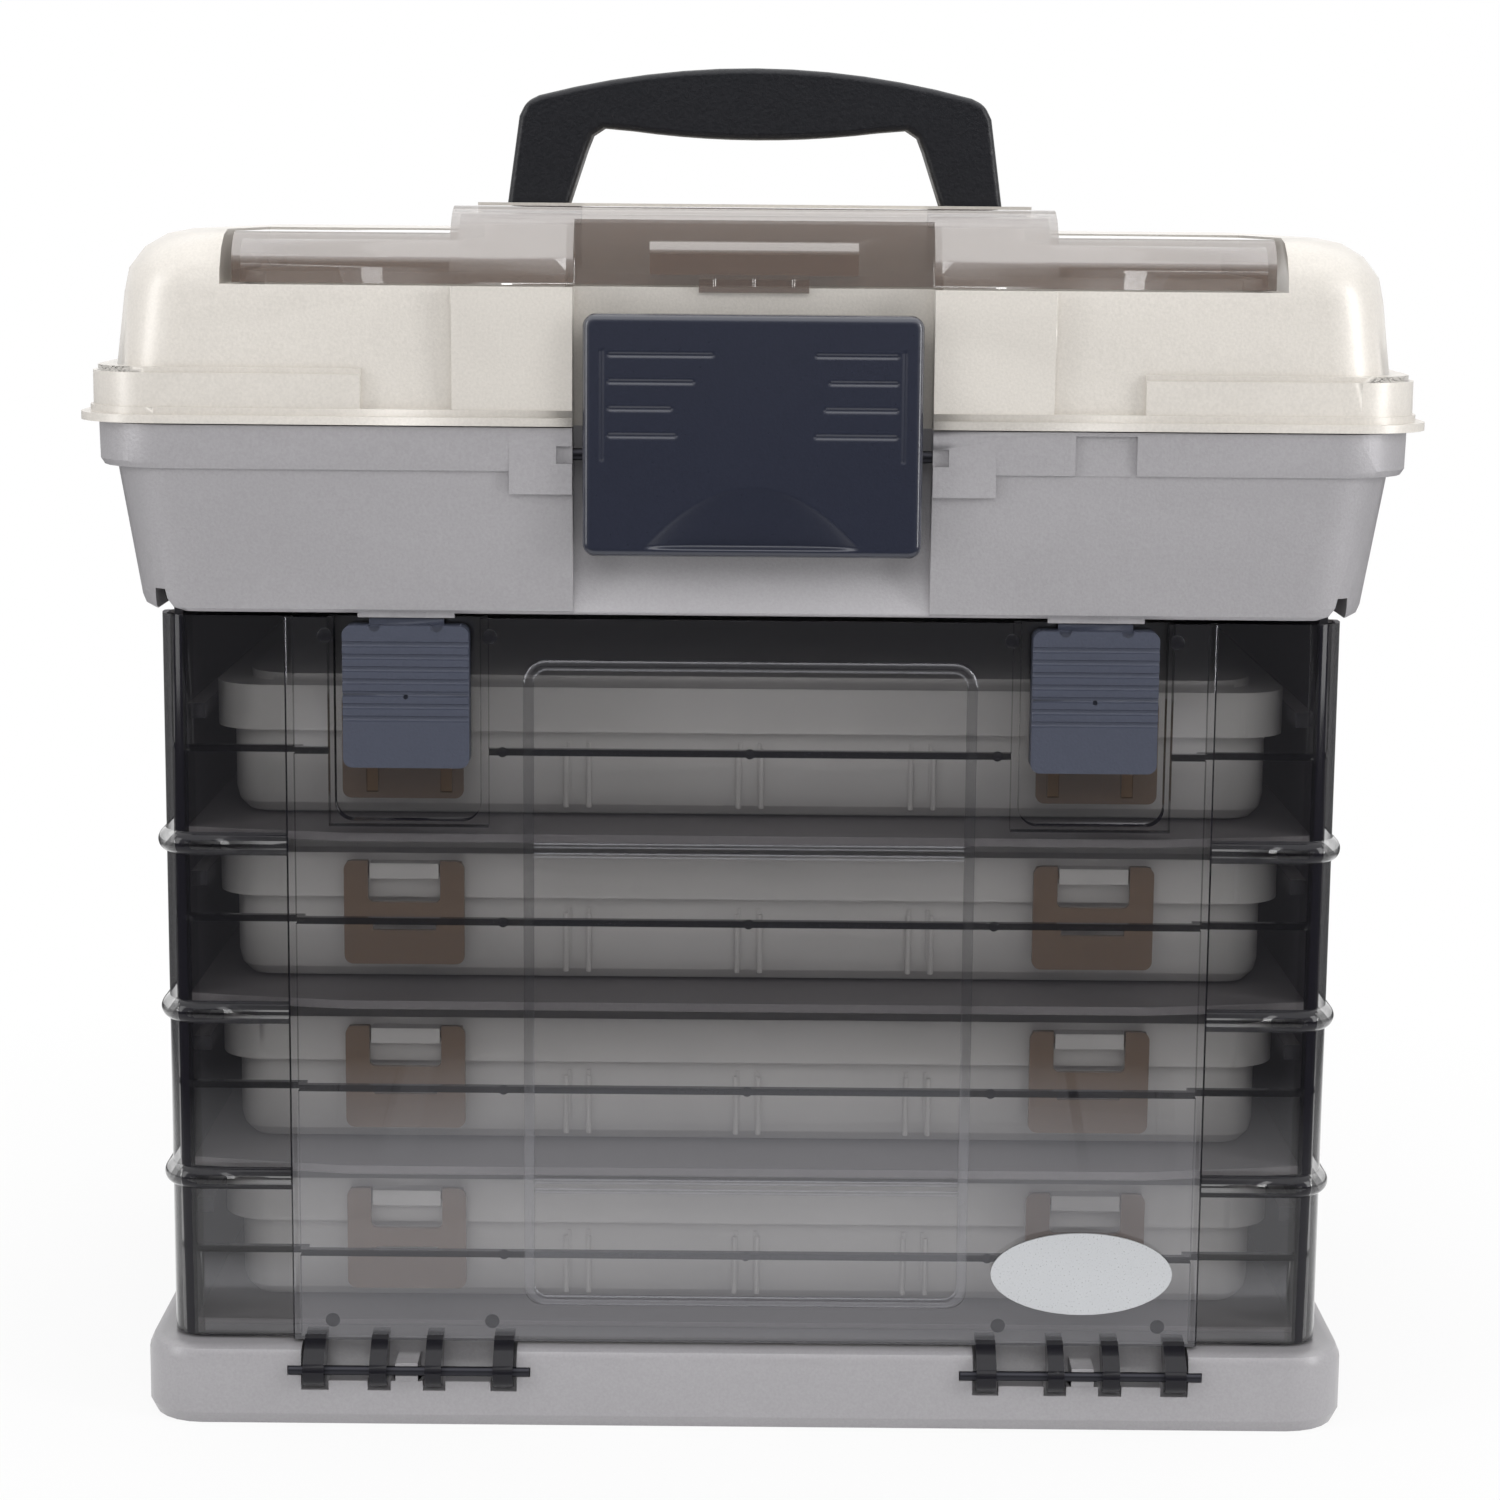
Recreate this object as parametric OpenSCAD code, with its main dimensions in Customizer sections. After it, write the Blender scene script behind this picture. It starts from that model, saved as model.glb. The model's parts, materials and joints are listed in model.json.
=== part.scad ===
// Fishing tackle cabinet: a plinth carries a rack of four utility boxes behind a
// drop-down clear door, and an open tub with a hinged lid stands on top of the rack.
// X is to the right, Y to the back, Z up; the origin is the centre of the footprint.

/* [Utility boxes] */
// Width of a utility box across its lid
box_w = 357; // [330:1:390]
// Depth of a utility box across its lid
box_d = 224; // [205:1:250]
// Height of a utility box to the edge of its lid
box_edge_h = 45; // [42:0.5:60]
// Height of the lid's crown above its edge
box_crown = 2.6; // [1:0.1:4]
// Wall thickness of trays and box lids
box_wall = 1.8; // [1.2:0.1:2.4]
// Depth of the skirt round a box lid
box_skirt = 15; // [10:0.5:20]
// How far a box lid overhangs its tray
box_overhang = 5.5; // [4:0.1:7]
// Plan corner radius of a tray
tray_r = 12; // [9:0.5:16]
// Rounding under a tray's bottom edge
tray_round = 9; // [5:0.5:12]
// Spacing of the divider slots
divider_pitch = 57; // [45:0.5:62]
// Thickness of a loose divider
divider_t = 1.4; // [1:0.1:2]
// Width of a box latch
box_latch_w = 40; // [32:1:46]
// Height of a box latch
box_latch_h = 35; // [32:0.5:37]
// Distance of a box latch from the middle of the box
box_latch_x = 114.5; // [100:0.5:125]
// Radius of a box latch's pivot
box_pivot_r = 1.3; // [1:0.05:1.6]

/* [Rack] */
// Thickness of the rack's sides, back and shelves
rack_t = 3; // [2:0.1:4]
// Thickness of the rack's floor
floor_t = 2; // [1.5:0.1:3]
// Room between a box lid and a rack side
side_room = 6.5; // [4:0.1:9]
// Room over a utility box in its bay
bay_room = 5.3; // [4:0.1:9]
// Room from the door's face to the front of the boxes
front_room = 31; // [28:0.5:38]
// Room from the back of the boxes to the rack's back face
rear_room = 11; // [9.5:0.5:20]
// How far the shelves stand in front of the boxes
shelf_nose = 22; // [12:0.5:23]

/* [Base] */
// Height of the base
base_h = 27; // [25:0.5:34]
// How far the base stands out at the cabinet's sides
base_out_x = 9; // [6:0.5:14]
// How far the base stands out at the cabinet's front and back
base_out_y = 5; // [4.5:0.1:6]
// Plan corner radius of the base
base_r = 20; // [12:1:30]
// Rounding of the base's top edge
base_round = 5; // [3:0.5:6]
// Wall thickness of the base
base_wall = 3; // [2:0.1:4]

/* [Door] */
// Thickness of the door
door_t = 2.4; // [2:0.1:3]
// Half-width of the door's proud front panel
panel_hx = 150; // [146:0.5:156]
// Step from the proud panel back to the corner bands
band_step = 3.5; // [2.5:0.1:4.5]
// Radius of the door's front corners
door_r = 11; // [9:0.5:14]
// Depth of the door from its face to the back of its side wings
wing_d = 36; // [24:0.5:38]
// Radius of the rolled beads at the corners
bead_r = 4; // [3:0.1:5]
// Height of the door's hinge axis
hinge_z = 19; // [18.5:0.1:19.5]
// Distance of the hinge axis in front of the door's face
hinge_out = 4.5; // [4.2:0.1:5]
// Radius of a hinge arm's eye
arm_r = 5.2; // [4.6:0.1:5.4]
// Radius of the door's hinge rods
rod_r = 1.6; // [1.3:0.1:2]
// Depth of the stiffening ribs inside the door
rib_d = 2.5; // [1.5:0.1:2.6]
// Half-width of the window frame in the middle of the door
window_hx = 73; // [60:0.5:80]
// How far the window stands proud
window_out = 1.2; // [0.6:0.1:1.5]

/* [Door latches] */
// Width of a door latch
door_latch_w = 40.5; // [36:0.5:43]
// Height of a door latch
door_latch_h = 46; // [40:0.5:48]
// Distance of a door latch from the middle of the door
door_latch_x = 110.5; // [106:0.5:112]
// Depth of a latch pocket in the door
pocket_d = 5.5; // [4.5:0.1:6]
// Travel of a door latch
door_latch_travel = 14; // [10:0.5:15]
// How far a door latch stands in front of the door's face
door_latch_out = 4; // [2:0.1:4.2]

/* [Tub] */
// Height of the tub from its foot to the rim
tub_h = 60; // [52:1:90]
// How far the tub's foot stands out at the cabinet's sides
tub_out_x = 7; // [5:0.5:12]
// How far the tub's foot stands out at the front and back
tub_out_y = 2; // [1.8:0.1:3]
// Flare of the tub's sides from foot to skirt
flare_x = 6.5; // [4:0.5:10]
// Flare of the tub's front and back
flare_y = 3; // [2:0.1:4]
// How far the skirt stands out at the sides
skirt_out_x = 6; // [4:0.5:8]
// How far the skirt stands out at the front and back
skirt_out_y = 2; // [1:0.1:3]
// Height of the skirt below the rim
skirt_h = 14; // [10:0.5:18]
// Wall thickness of the tub
tub_wall = 3; // [2:0.1:3.5]
// Depth of the lip that hangs below the tub's floor
lip_h = 7; // [6:0.5:12]

/* [Lid] */
// Height of the lid's flanks above the rim
lid_h = 61; // [54:0.5:90]
// How far the rim flange stands out from the skirt at the sides
rim_out_x = 5.5; // [3:0.5:8]
// How far the rim flange stands out at the front and back
rim_out_y = 2; // [1:0.1:3]
// Height of the rim band
rim_h = 5.4; // [4.5:0.1:8]
// Height of the shoulders above the rim band
shoulder_h = 12.6; // [8:0.1:16]
// Half-width of the front bay between the shoulders
shoulder_gap = 124; // [112:0.5:140]
// Wall thickness of the lid
lid_wall = 2.8; // [2:0.1:3.2]
// Rounding of the lid's top edges
lid_round = 20; // [14:0.5:22]
// Half-width of the raised centre of the lid
centre_hx = 96; // [94:0.5:104]
// Height of the raised centre above the flanks
centre_up = 9.1; // [4:0.1:10]
// How far the pilasters stand proud
pilaster_out = 3; // [1:0.1:3.2]
// Half-width of the opening for the lid cover
cover_bay_hx = 168.5; // [150:0.5:176]

/* [Lid cover] */
// Wall thickness of the lid cover
cover_t = 2.4; // [1.8:0.1:2.6]
// Rounding of the cover's front, beside its raised middle
cover_round = 11; // [8:0.5:14]
// Gap at the ends of the cover
cover_gap = 4; // [1:0.1:5]
// Height of the cover's front edge above the rim
cover_edge_h = 44.5; // [40:0.5:46]
// Depth of the well under the cover
well_depth = 26; // [10:0.5:30]
// Half-width of the cover's grip bar
grip_hx = 33; // [20:0.5:45]

/* [Main latch] */
// Width of the main latch
latch_w = 107; // [90:0.5:109]
// Height of the main latch
latch_h = 76; // [66:0.5:80]
// Depth of the main latch
latch_d = 10; // [9:0.5:12]
// Height of its pivot above its lower edge
latch_pivot_h = 31.5; // [30:0.5:34]
// How far the latch hangs below the rim
latch_drop = 40; // [38:0.5:42]
// Radius of the latch's pivot pin
latch_pin_r = 2; // [1.5:0.1:2.4]
// Half-width of the recess that the latch sits in
recess_hx = 57; // [56.5:0.5:60]
// Depth of the recess behind the rim's edge
recess_d = 15; // [14.5:0.5:17]

/* [Handle] */
// Half-width of the handle across its feet
handle_hx = 88; // [84:0.5:89]
// Height of the handle above its pivot
handle_h = 57; // [50:0.5:70]
// Thickness of the handle from front to back
handle_t = 20; // [14:0.5:21]
// Width of a handle leg
handle_leg = 22.5; // [16:0.5:23]
// Radius of the handle's pivot pins
handle_pin_r = 3; // [2:0.1:4]

/* [Lid hinge] */
// Radius of the lid's rear knuckles, which is also how far they and the main latch stand out
knuckle_r = 4; // [3.4:0.1:5]
// Radius of the lid's hinge pins
lid_pin_r = 1.8; // [1.2:0.1:2.2]
// Width of a tub knuckle
knuckle_w = 14; // [10:0.5:20]
// Distance of a hinge from the middle of the lid
lid_hinge_x = 120; // [100:1:140]

/* [Hidden] */
$fn = 48;

// Clearances
fit = 0.05;          // radial clearance of a pin in its bore
seat = 0.3;          // a part that rests or runs on another
play = 0.5;          // parts that move past each other
over = 1;            // how far a cut runs past what it cuts
sink = 0.2;          // how far joined shapes run into each other

// Cabinet: bays, rack and door in plan
box_count = 4;
box_h = box_edge_h + box_crown;
pitch = rack_t + seat + box_h + bay_room;
floor_top = base_h + floor_t;
rack_hx = box_w / 2 + side_room;          // inside of the rack
side_pad = rack_t;                        // outer pad of a rack side, behind the wing
cab_hx = rack_hx + rack_t + side_pad;     // outside of rack and door
cab_hy = (front_room + box_d + rear_room) / 2;
box_y0 = -cab_hy + front_room;            // front of the box lids
box_y1 = box_y0 + box_d;
wing_y = -cab_hy + wing_d;                // back edge of the door's wings
rack_y0 = -cab_hy + front_room / 2 + 2.5; // front edge of the rack's sides
rack_y1 = cab_hy - rack_t;                // front face of the rack's back
rail_w = side_room - 1;
rail_z = box_edge_h - 10;
rail_t = 5;
tub_z = floor_top + box_count * pitch + 17.2;
rack_top = tub_z + lip_h;

// Base
base_hx = cab_hx + base_out_x;
base_hy = cab_hy + base_out_y;
foot_in = 2;         // how far the lower edge draws in
foot_h = 4;
web_t = 2;           // shallow ribs under the base
web_h = 6;
web_pitch = 40;

// Door
door_z0 = base_h + 1;
door_z1 = tub_z - 1.7;
axis_y = -cab_hy - hinge_out;
swing = tub_z - seat - hinge_z;           // reach of the door's top round its axis
arm_x = [142.3, 121, 102.8, 79.8];        // middles of the hinge arms
arm_w = [7, 5.6, 5.4, 6.6];
station_x0 = arm_x[3] - arm_w[3] / 2 - 1; // the base's recess for one hinge
station_x1 = arm_x[0] + arm_w[0] / 2 + 1;
rod_end = 4.5;       // how far a rod runs into the base past the recess
window_z0 = door_z0 + 13;
window_z1 = door_z1 - 13;
window_r = 6;
pocket_w = door_latch_w + 6.5;
pocket_r = 6;
pocket_h = 66;       // pockets of the sliding latches
pocket_z0 = door_z1 - pocket_h;
door_latch_z1 = door_z1 - 2;
rib_t = 2.2;

// Tub and lid, as half-widths and half-depths
foot_hx = cab_hx + tub_out_x;
foot_hy = cab_hy + tub_out_y;
wall_hx = foot_hx + flare_x;
wall_hy = foot_hy + flare_y;
skirt_hx = wall_hx + skirt_out_x;
skirt_hy = wall_hy + skirt_out_y;
rim_hx = skirt_hx + rim_out_x;
rim_hy = skirt_hy + rim_out_y;
tub_r = 22;          // plan corner radius at the wall
rim_z = tub_z + tub_h;
tub_floor_z = rack_top + tub_wall;
recess_y = -rim_hy + recess_d;            // back of the main latch's recess
lid_z1 = rim_z + lid_h;
centre_z1 = lid_z1 + centre_up;
ledge_z = rim_z + cover_edge_h - 0.5;     // ledge that the cover's edge rests on
band_z = rim_z + rim_h;
body_hx = wall_hx + 1.5;                  // lid body at the rim band
body_hy = wall_hy - 1.5;
lid_knuckle_w = 10;
lid_knuckle_x = knuckle_w / 2 + play + lid_knuckle_w / 2;

// Main latch
latch_z0 = rim_z - latch_drop;
latch_y0 = -rim_hy - knuckle_r;
pivot_y = latch_y0 + latch_d;
pivot_z = latch_z0 + latch_pivot_h;

// Lid cover and its well
cover_hx = cover_bay_hx - cover_gap;
cover_y0 = 2 - body_hy;                   // front of the cover
cover_y1 = -25;      // back edge of the cover
cover_mid_y = recess_y + 2.5;             // front of the cover's middle part
cover_pin_r = 1.5;
cover_eye_r = 3.2;
cover_axis_y = cover_y1 - 1;
cover_axis_z = centre_z1 - cover_eye_r - 1;
cover_eye_x = recess_hx + 3;              // inner end of a hinge eye
cover_eye_w = centre_hx - recess_hx - 5;
well_z = ledge_z - well_depth;
well_lip = 1.6;      // upstand round the well, inside the cover
well_hx = cover_hx - cover_t - play - well_lip;
well_notch_hx = recess_hx + cover_t + play + well_lip;

// Handle and its well in the lid
handle_z = lid_z1 - 1;
handle_well_z = handle_z - handle_t / 2 - 1.5;
handle_well_hx = handle_hx + 4.5;
handle_well_y0 = -13;
handle_well_y1 = handle_h + 19;
lug_t = 7;

// Plan outline with rounded corners, as exact arcs
module rounded(hx, hy, r) {
  square([2 * hx, 2 * (hy - r)], center = true);
  square([2 * (hx - r), 2 * hy], center = true);
  for (sx = [-1, 1], sy = [-1, 1]) translate([sx * (hx - r), sy * (hy - r)]) circle(r);
}

// Outline in the XZ plane, extruded along Y from y0 to y1
module face_slab(y0, y1) {
  translate([0, y1, 0]) rotate([90, 0, 0]) linear_extrude(y1 - y0) children();
}

// Outline in the YZ plane, extruded along X from x0 to x1
module side_slab(x0, x1) {
  translate([x0, 0, 0]) rotate([90, 0, 90]) linear_extrude(x1 - x0) children();
}

// Bar between two corners
module bar(low, high) {
  translate(low) cube(high - low);
}

// Round bar along X
module rod_x(x0, x1, y, z, r) {
  translate([x0, y, z]) rotate([0, 90, 0]) cylinder(r = r, h = x1 - x0);
}

// Shell of rounded outlines stacked in height; each ring is [z, hx, hy, r]
ring_steps = 6;
function ring(g) = [for (q = [0:3], k = [0:ring_steps])
  let (a = 90 * q + 90 * k / ring_steps,
       cx = (q == 0 || q == 3) ? g[1] - g[3] : g[3] - g[1],
       cy = (q < 2) ? g[2] - g[3] : g[3] - g[2])
  [cx + g[3] * cos(a), cy + g[3] * sin(a), g[0]]];
module loft(rings) {
  n = 4 * (ring_steps + 1);
  last = (len(rings) - 1) * n;
  points = [for (g = rings) each ring(g)];
  sides = [for (i = [0:len(rings) - 2], k = [0:n - 1])
    let (a = i * n + k, b = i * n + (k + 1) % n)
    each [[a, b + n, b], [a, a + n, b + n]]];
  polyhedron(points, concat(sides, [[for (k = [0:n - 1]) k]],
    [[for (k = [n - 1:-1:0]) last + k]]));
}

// Plinth: a hollow moulding with ribs below and two hinge stations in its front edge
module base() {
  inset = base_round * 0.3;
  station_d = 12;      // depth of the recess behind the arms
  station_z = hinge_z - 3.4;
  knuckle_hx = (arm_x[1] - arm_x[2] - arm_w[1]) / 2 - 2.6;
  color("#a09d99") difference() {
    union() {
      difference() {
        loft([[0, base_hx - foot_in, base_hy - foot_in, base_r - foot_in],
          [foot_h, base_hx, base_hy, base_r],
          [base_h - base_round, base_hx, base_hy, base_r],
          [base_h - inset, base_hx - inset, base_hy - inset, base_r - inset],
          [base_h, base_hx - base_round, base_hy - base_round, base_r - base_round]]);
        translate([0, 0, -over]) linear_extrude(base_h - base_wall + over)
          rounded(base_hx - base_round - 0.5, base_hy - base_round - 0.5, base_r - base_round);
      }
      intersection() {
        translate([0, 0, base_h - base_wall - web_h]) linear_extrude(web_h + sink)
          rounded(base_hx - base_round, base_hy - base_round, base_r - base_round);
        union() {
          for (x = [-4:4]) translate([x * web_pitch - web_t / 2, -base_hy, 0])
            cube([web_t, 2 * base_hy, base_h]);
          for (y = [-2.5:2.5]) translate([-base_hx, y * web_pitch - web_t / 2, 0])
            cube([2 * base_hx, web_t, base_h]);
        }
      }
      for (s = [-1, 1]) bar([s * (station_x0 + station_x1) / 2
        - (station_x1 - station_x0) / 2 - rod_end - 2, axis_y + 5, 1],
        [s * (station_x0 + station_x1) / 2 + (station_x1 - station_x0) / 2 + rod_end + 2,
        axis_y + station_d + 3, base_h - 1]);
      for (s = [-1, 1]) for (x = [station_x0 - rod_end - 2, station_x1])
        bar([(s > 0 ? x : -x - rod_end - 2), -base_hy + 2, 1],
          [(s > 0 ? x + rod_end + 2 : -x), axis_y + station_d, base_h - 2]);
    }
    for (s = [-1, 1]) mirror([s > 0 ? 0 : 1, 0, 0]) {
      bar([station_x0, -base_hy - over, station_z],
        [station_x1, axis_y + station_d, base_h + over]);
      for (i = [0:3]) {
        w = arm_w[i] + 2 * 1;
        rod_x(arm_x[i] - w / 2, arm_x[i] + w / 2, axis_y, hinge_z, arm_r + play + 1);
      }
      rod_x(station_x0 - rod_end, station_x1 + rod_end, axis_y, hinge_z, rod_r + fit);
    }
  }
  // the knuckle in the middle of each station carries its rod
  for (s = [-1, 1]) color("#a09d99") difference() {
    bar([s * (arm_x[1] + arm_x[2]) / 2 - knuckle_hx, axis_y - 0.4, station_z - sink],
      [s * (arm_x[1] + arm_x[2]) / 2 + knuckle_hx, axis_y + station_d + sink, hinge_z + 2.8]);
    rod_x(-base_hx, base_hx, axis_y, hinge_z, rod_r + fit);
  }
}

// Steel rod of one door hinge, let into the base at both ends
module door_hinge_rod(side) {
  mid = (station_x0 + station_x1) / 2;
  half = (station_x1 - station_x0) / 2 + rod_end - seat;
  color("#2a2a2c") rod_x(side * mid - half, side * mid + half, axis_y, hinge_z, rod_r);
}

module rack_floor() {
  color("#8f8a80") bar([-rack_hx, rack_y0, base_h], [rack_hx, rack_y1, floor_top]);
}

// Side of the rack, with a guide rail beside each box and an outer pad behind the door's wing
module rack_side(side) {
  color("#b5ac9c") mirror([side > 0 ? 0 : 1, 0, 0]) {
    bar([rack_hx, rack_y0, base_h], [rack_hx + rack_t, cab_hy, rack_top]);
    bar([rack_hx + rack_t - sink, wing_y + 1, base_h], [cab_hx, cab_hy, rack_top]);
    for (i = [1:box_count])
      bar([rack_hx - rail_w, rack_y0 + 6, floor_top + (box_count - i) * pitch + rail_z],
        [rack_hx + sink, rack_y1 - 8, floor_top + (box_count - i) * pitch + rail_z + rail_t]);
  }
}

module rack_back() {
  color("#9a9488") bar([-rack_hx, rack_y1, base_h], [rack_hx, cab_hy, rack_top]);
}

// Shelf between two bays, with its corners cut off in front
module rack_shelf(i) {
  corner = 20;
  nose_y = box_y0 - shelf_nose;
  color("#8f8a80") translate([0, 0, floor_top + (box_count - i) * pitch - rack_t])
    linear_extrude(rack_t) polygon([[-rack_hx, rack_y1], [-rack_hx, rack_y0],
      [corner - panel_hx - 2, nose_y], [panel_hx - corner + 2, nose_y],
      [rack_hx, rack_y0], [rack_hx, rack_y1]]);
}

// Recess of the main latch in the tub's front: straight above, drawn forward at the foot
module recess_profile(wall) {
  foot_y = -foot_hy + 1.5 + wall;
  polygon([[-rim_hy - 20, tub_z - over], [foot_y, tub_z - over], [foot_y, tub_z + 1],
    [recess_y + wall, latch_z0 - 6], [recess_y + wall, rim_z + 40],
    [-rim_hy - 20, rim_z + 40]]);
}

// Storage tub: flared walls, skirt and rim, with knuckles for the lid at the back
module tub() {
  skirt_z = rim_z - skirt_h;
  step_z = skirt_z - 7;        // the skirt hangs lower beside the main latch
  step_hx = recess_hx + 20;
  gap_x0 = 102;                // notch in the skirt on the right
  gap_w = 19.5;
  inner_r = tub_r - tub_wall;
  window = 5.5;                // openings at the ends of the main latch's pin
  tab_w = 31;                  // tabs over the door latches
  color("#9c9a9c") difference() {
    union() {
      loft([[tub_z, foot_hx - 3.5, foot_hy - 2, tub_r - 3],
        [tub_z + 1.2, foot_hx - 1.2, foot_hy - 0.7, tub_r - 1],
        [tub_z + 4, foot_hx, foot_hy, tub_r],
        [skirt_z, wall_hx, wall_hy, tub_r],
        [skirt_z + 0.2, skirt_hx - 1.6, skirt_hy - 0.8, tub_r + 2],
        [skirt_z + 2.2, skirt_hx - 0.3, skirt_hy - 0.2, tub_r + 2.5],
        [rim_z - 2, skirt_hx, skirt_hy, tub_r + 3],
        [rim_z, skirt_hx, skirt_hy, tub_r + 3]]);
      for (s = [-1, 1]) mirror([s > 0 ? 0 : 1, 0, 0]) {
        bar([recess_hx - 1, -skirt_hy, step_z], [step_hx, -foot_hy + 2, rim_z - 3]);
        bar([door_latch_x - tab_w / 2, -foot_hy + 1.4, tub_z - 1.4],
          [door_latch_x + tab_w / 2, -foot_hy + 3.4, tub_z + 3]);
      }
      for (s = [-1, 1]) tub_knuckle(s);
    }
    difference() {
      loft([[tub_floor_z, foot_hx - tub_wall - 3, foot_hy - tub_wall - 1, inner_r - 4],
        [tub_floor_z + 4, foot_hx - tub_wall + 0.4, foot_hy - tub_wall + 0.3, inner_r],
        [rim_z + over, wall_hx - tub_wall, wall_hy - tub_wall, inner_r]]);
      side_slab(-recess_hx - tub_wall, recess_hx + tub_wall) recess_profile(tub_wall);
    }
    side_slab(-recess_hx, recess_hx) recess_profile(0);
    // hollow under the floor that drops over the rack, behind the recess's wall
    difference() {
      bar([-cab_hx - seat, -foot_hy + tub_wall, tub_z - over],
        [cab_hx + seat, cab_hy + seat, rack_top]);
      side_slab(-recess_hx - tub_wall, recess_hx + tub_wall) recess_profile(tub_wall);
    }
    // notch in the skirt, down to the flared wall
    bar([gap_x0, -rim_hy - over, skirt_z - over], [gap_x0 + gap_w, -wall_hy - 0.4, rim_z - 1.2]);
    for (s = [-1, 1]) bar([s * (recess_hx + 2) - 3, -rim_hy, pivot_z - window / 2],
      [s * (recess_hx + 2) + 3, pivot_y - 2.4, pivot_z + window / 2]);
    rod_x(-recess_hx - 5, recess_hx + 5, pivot_y, pivot_z, latch_pin_r + fit);
    for (s = [-1, 1]) {
      for (t = [-1, 1]) rod_x(s * lid_hinge_x + t * lid_knuckle_x - lid_knuckle_w / 2 - 0.2,
        s * lid_hinge_x + t * lid_knuckle_x + lid_knuckle_w / 2 + 0.2, rim_hy, rim_z,
        knuckle_r + play);
      rod_x(s * lid_hinge_x - 40, s * lid_hinge_x + 40, rim_hy, rim_z, lid_pin_r + fit);
    }
  }
}

// Knuckle of the tub at one rear hinge, on a web from the skirt
module tub_knuckle(s) {
  rod_x(s * lid_hinge_x - knuckle_w / 2, s * lid_hinge_x + knuckle_w / 2, rim_hy, rim_z,
    knuckle_r);
  bar([s * lid_hinge_x - knuckle_w / 2, skirt_hy - 2, rim_z - skirt_h + 2],
    [s * lid_hinge_x + knuckle_w / 2, rim_hy + knuckle_r * 0.5, rim_z - 2]);
}

module main_latch_pin() {
  color("#55565a") rod_x(-recess_hx - 5 + seat, recess_hx + 5 - seat, pivot_y, pivot_z,
    latch_pin_r);
}

module lid_hinge_pins() {
  half = lid_knuckle_x + lid_knuckle_w / 2;
  color("#8a8a8e") for (s = [-1, 1])
    rod_x(s * lid_hinge_x - half, s * lid_hinge_x + half, rim_hy, rim_z, lid_pin_r);
}

// Section of the lid's raised centre along its depth, drawn in by t
module centre_profile(t) {
  hy = body_hy - 1 - t;
  r = lid_round - t;
  top = centre_z1 - t;
  intersection() {
    union() {
      translate([-hy, rim_z]) square([2 * hy, top - r - rim_z]);
      translate([r - hy, top - r - over]) square([2 * (hy - r), r + over]);
      for (s = [-1, 1]) translate([s * (hy - r), top - r]) circle(r);
    }
    translate([-hy, rim_z]) square([2 * hy, top - rim_z]);
  }
}

// Outline of the well under the cover, set back behind the main latch's recess
module well_plan(t) {
  y0 = -body_hy + 8;
  y1 = cover_y1 - 6;
  difference() {
    translate([0, (y0 + y1) / 2]) rounded(well_hx - t, (y1 - y0) / 2 - t, 6 - t);
    translate([-well_notch_hx - t, y0 - 3 * over])
      square([2 * (well_notch_hx + t), recess_y + 2 * lid_wall + 3 - y0 + 3 * over + t]);
  }
}

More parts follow.
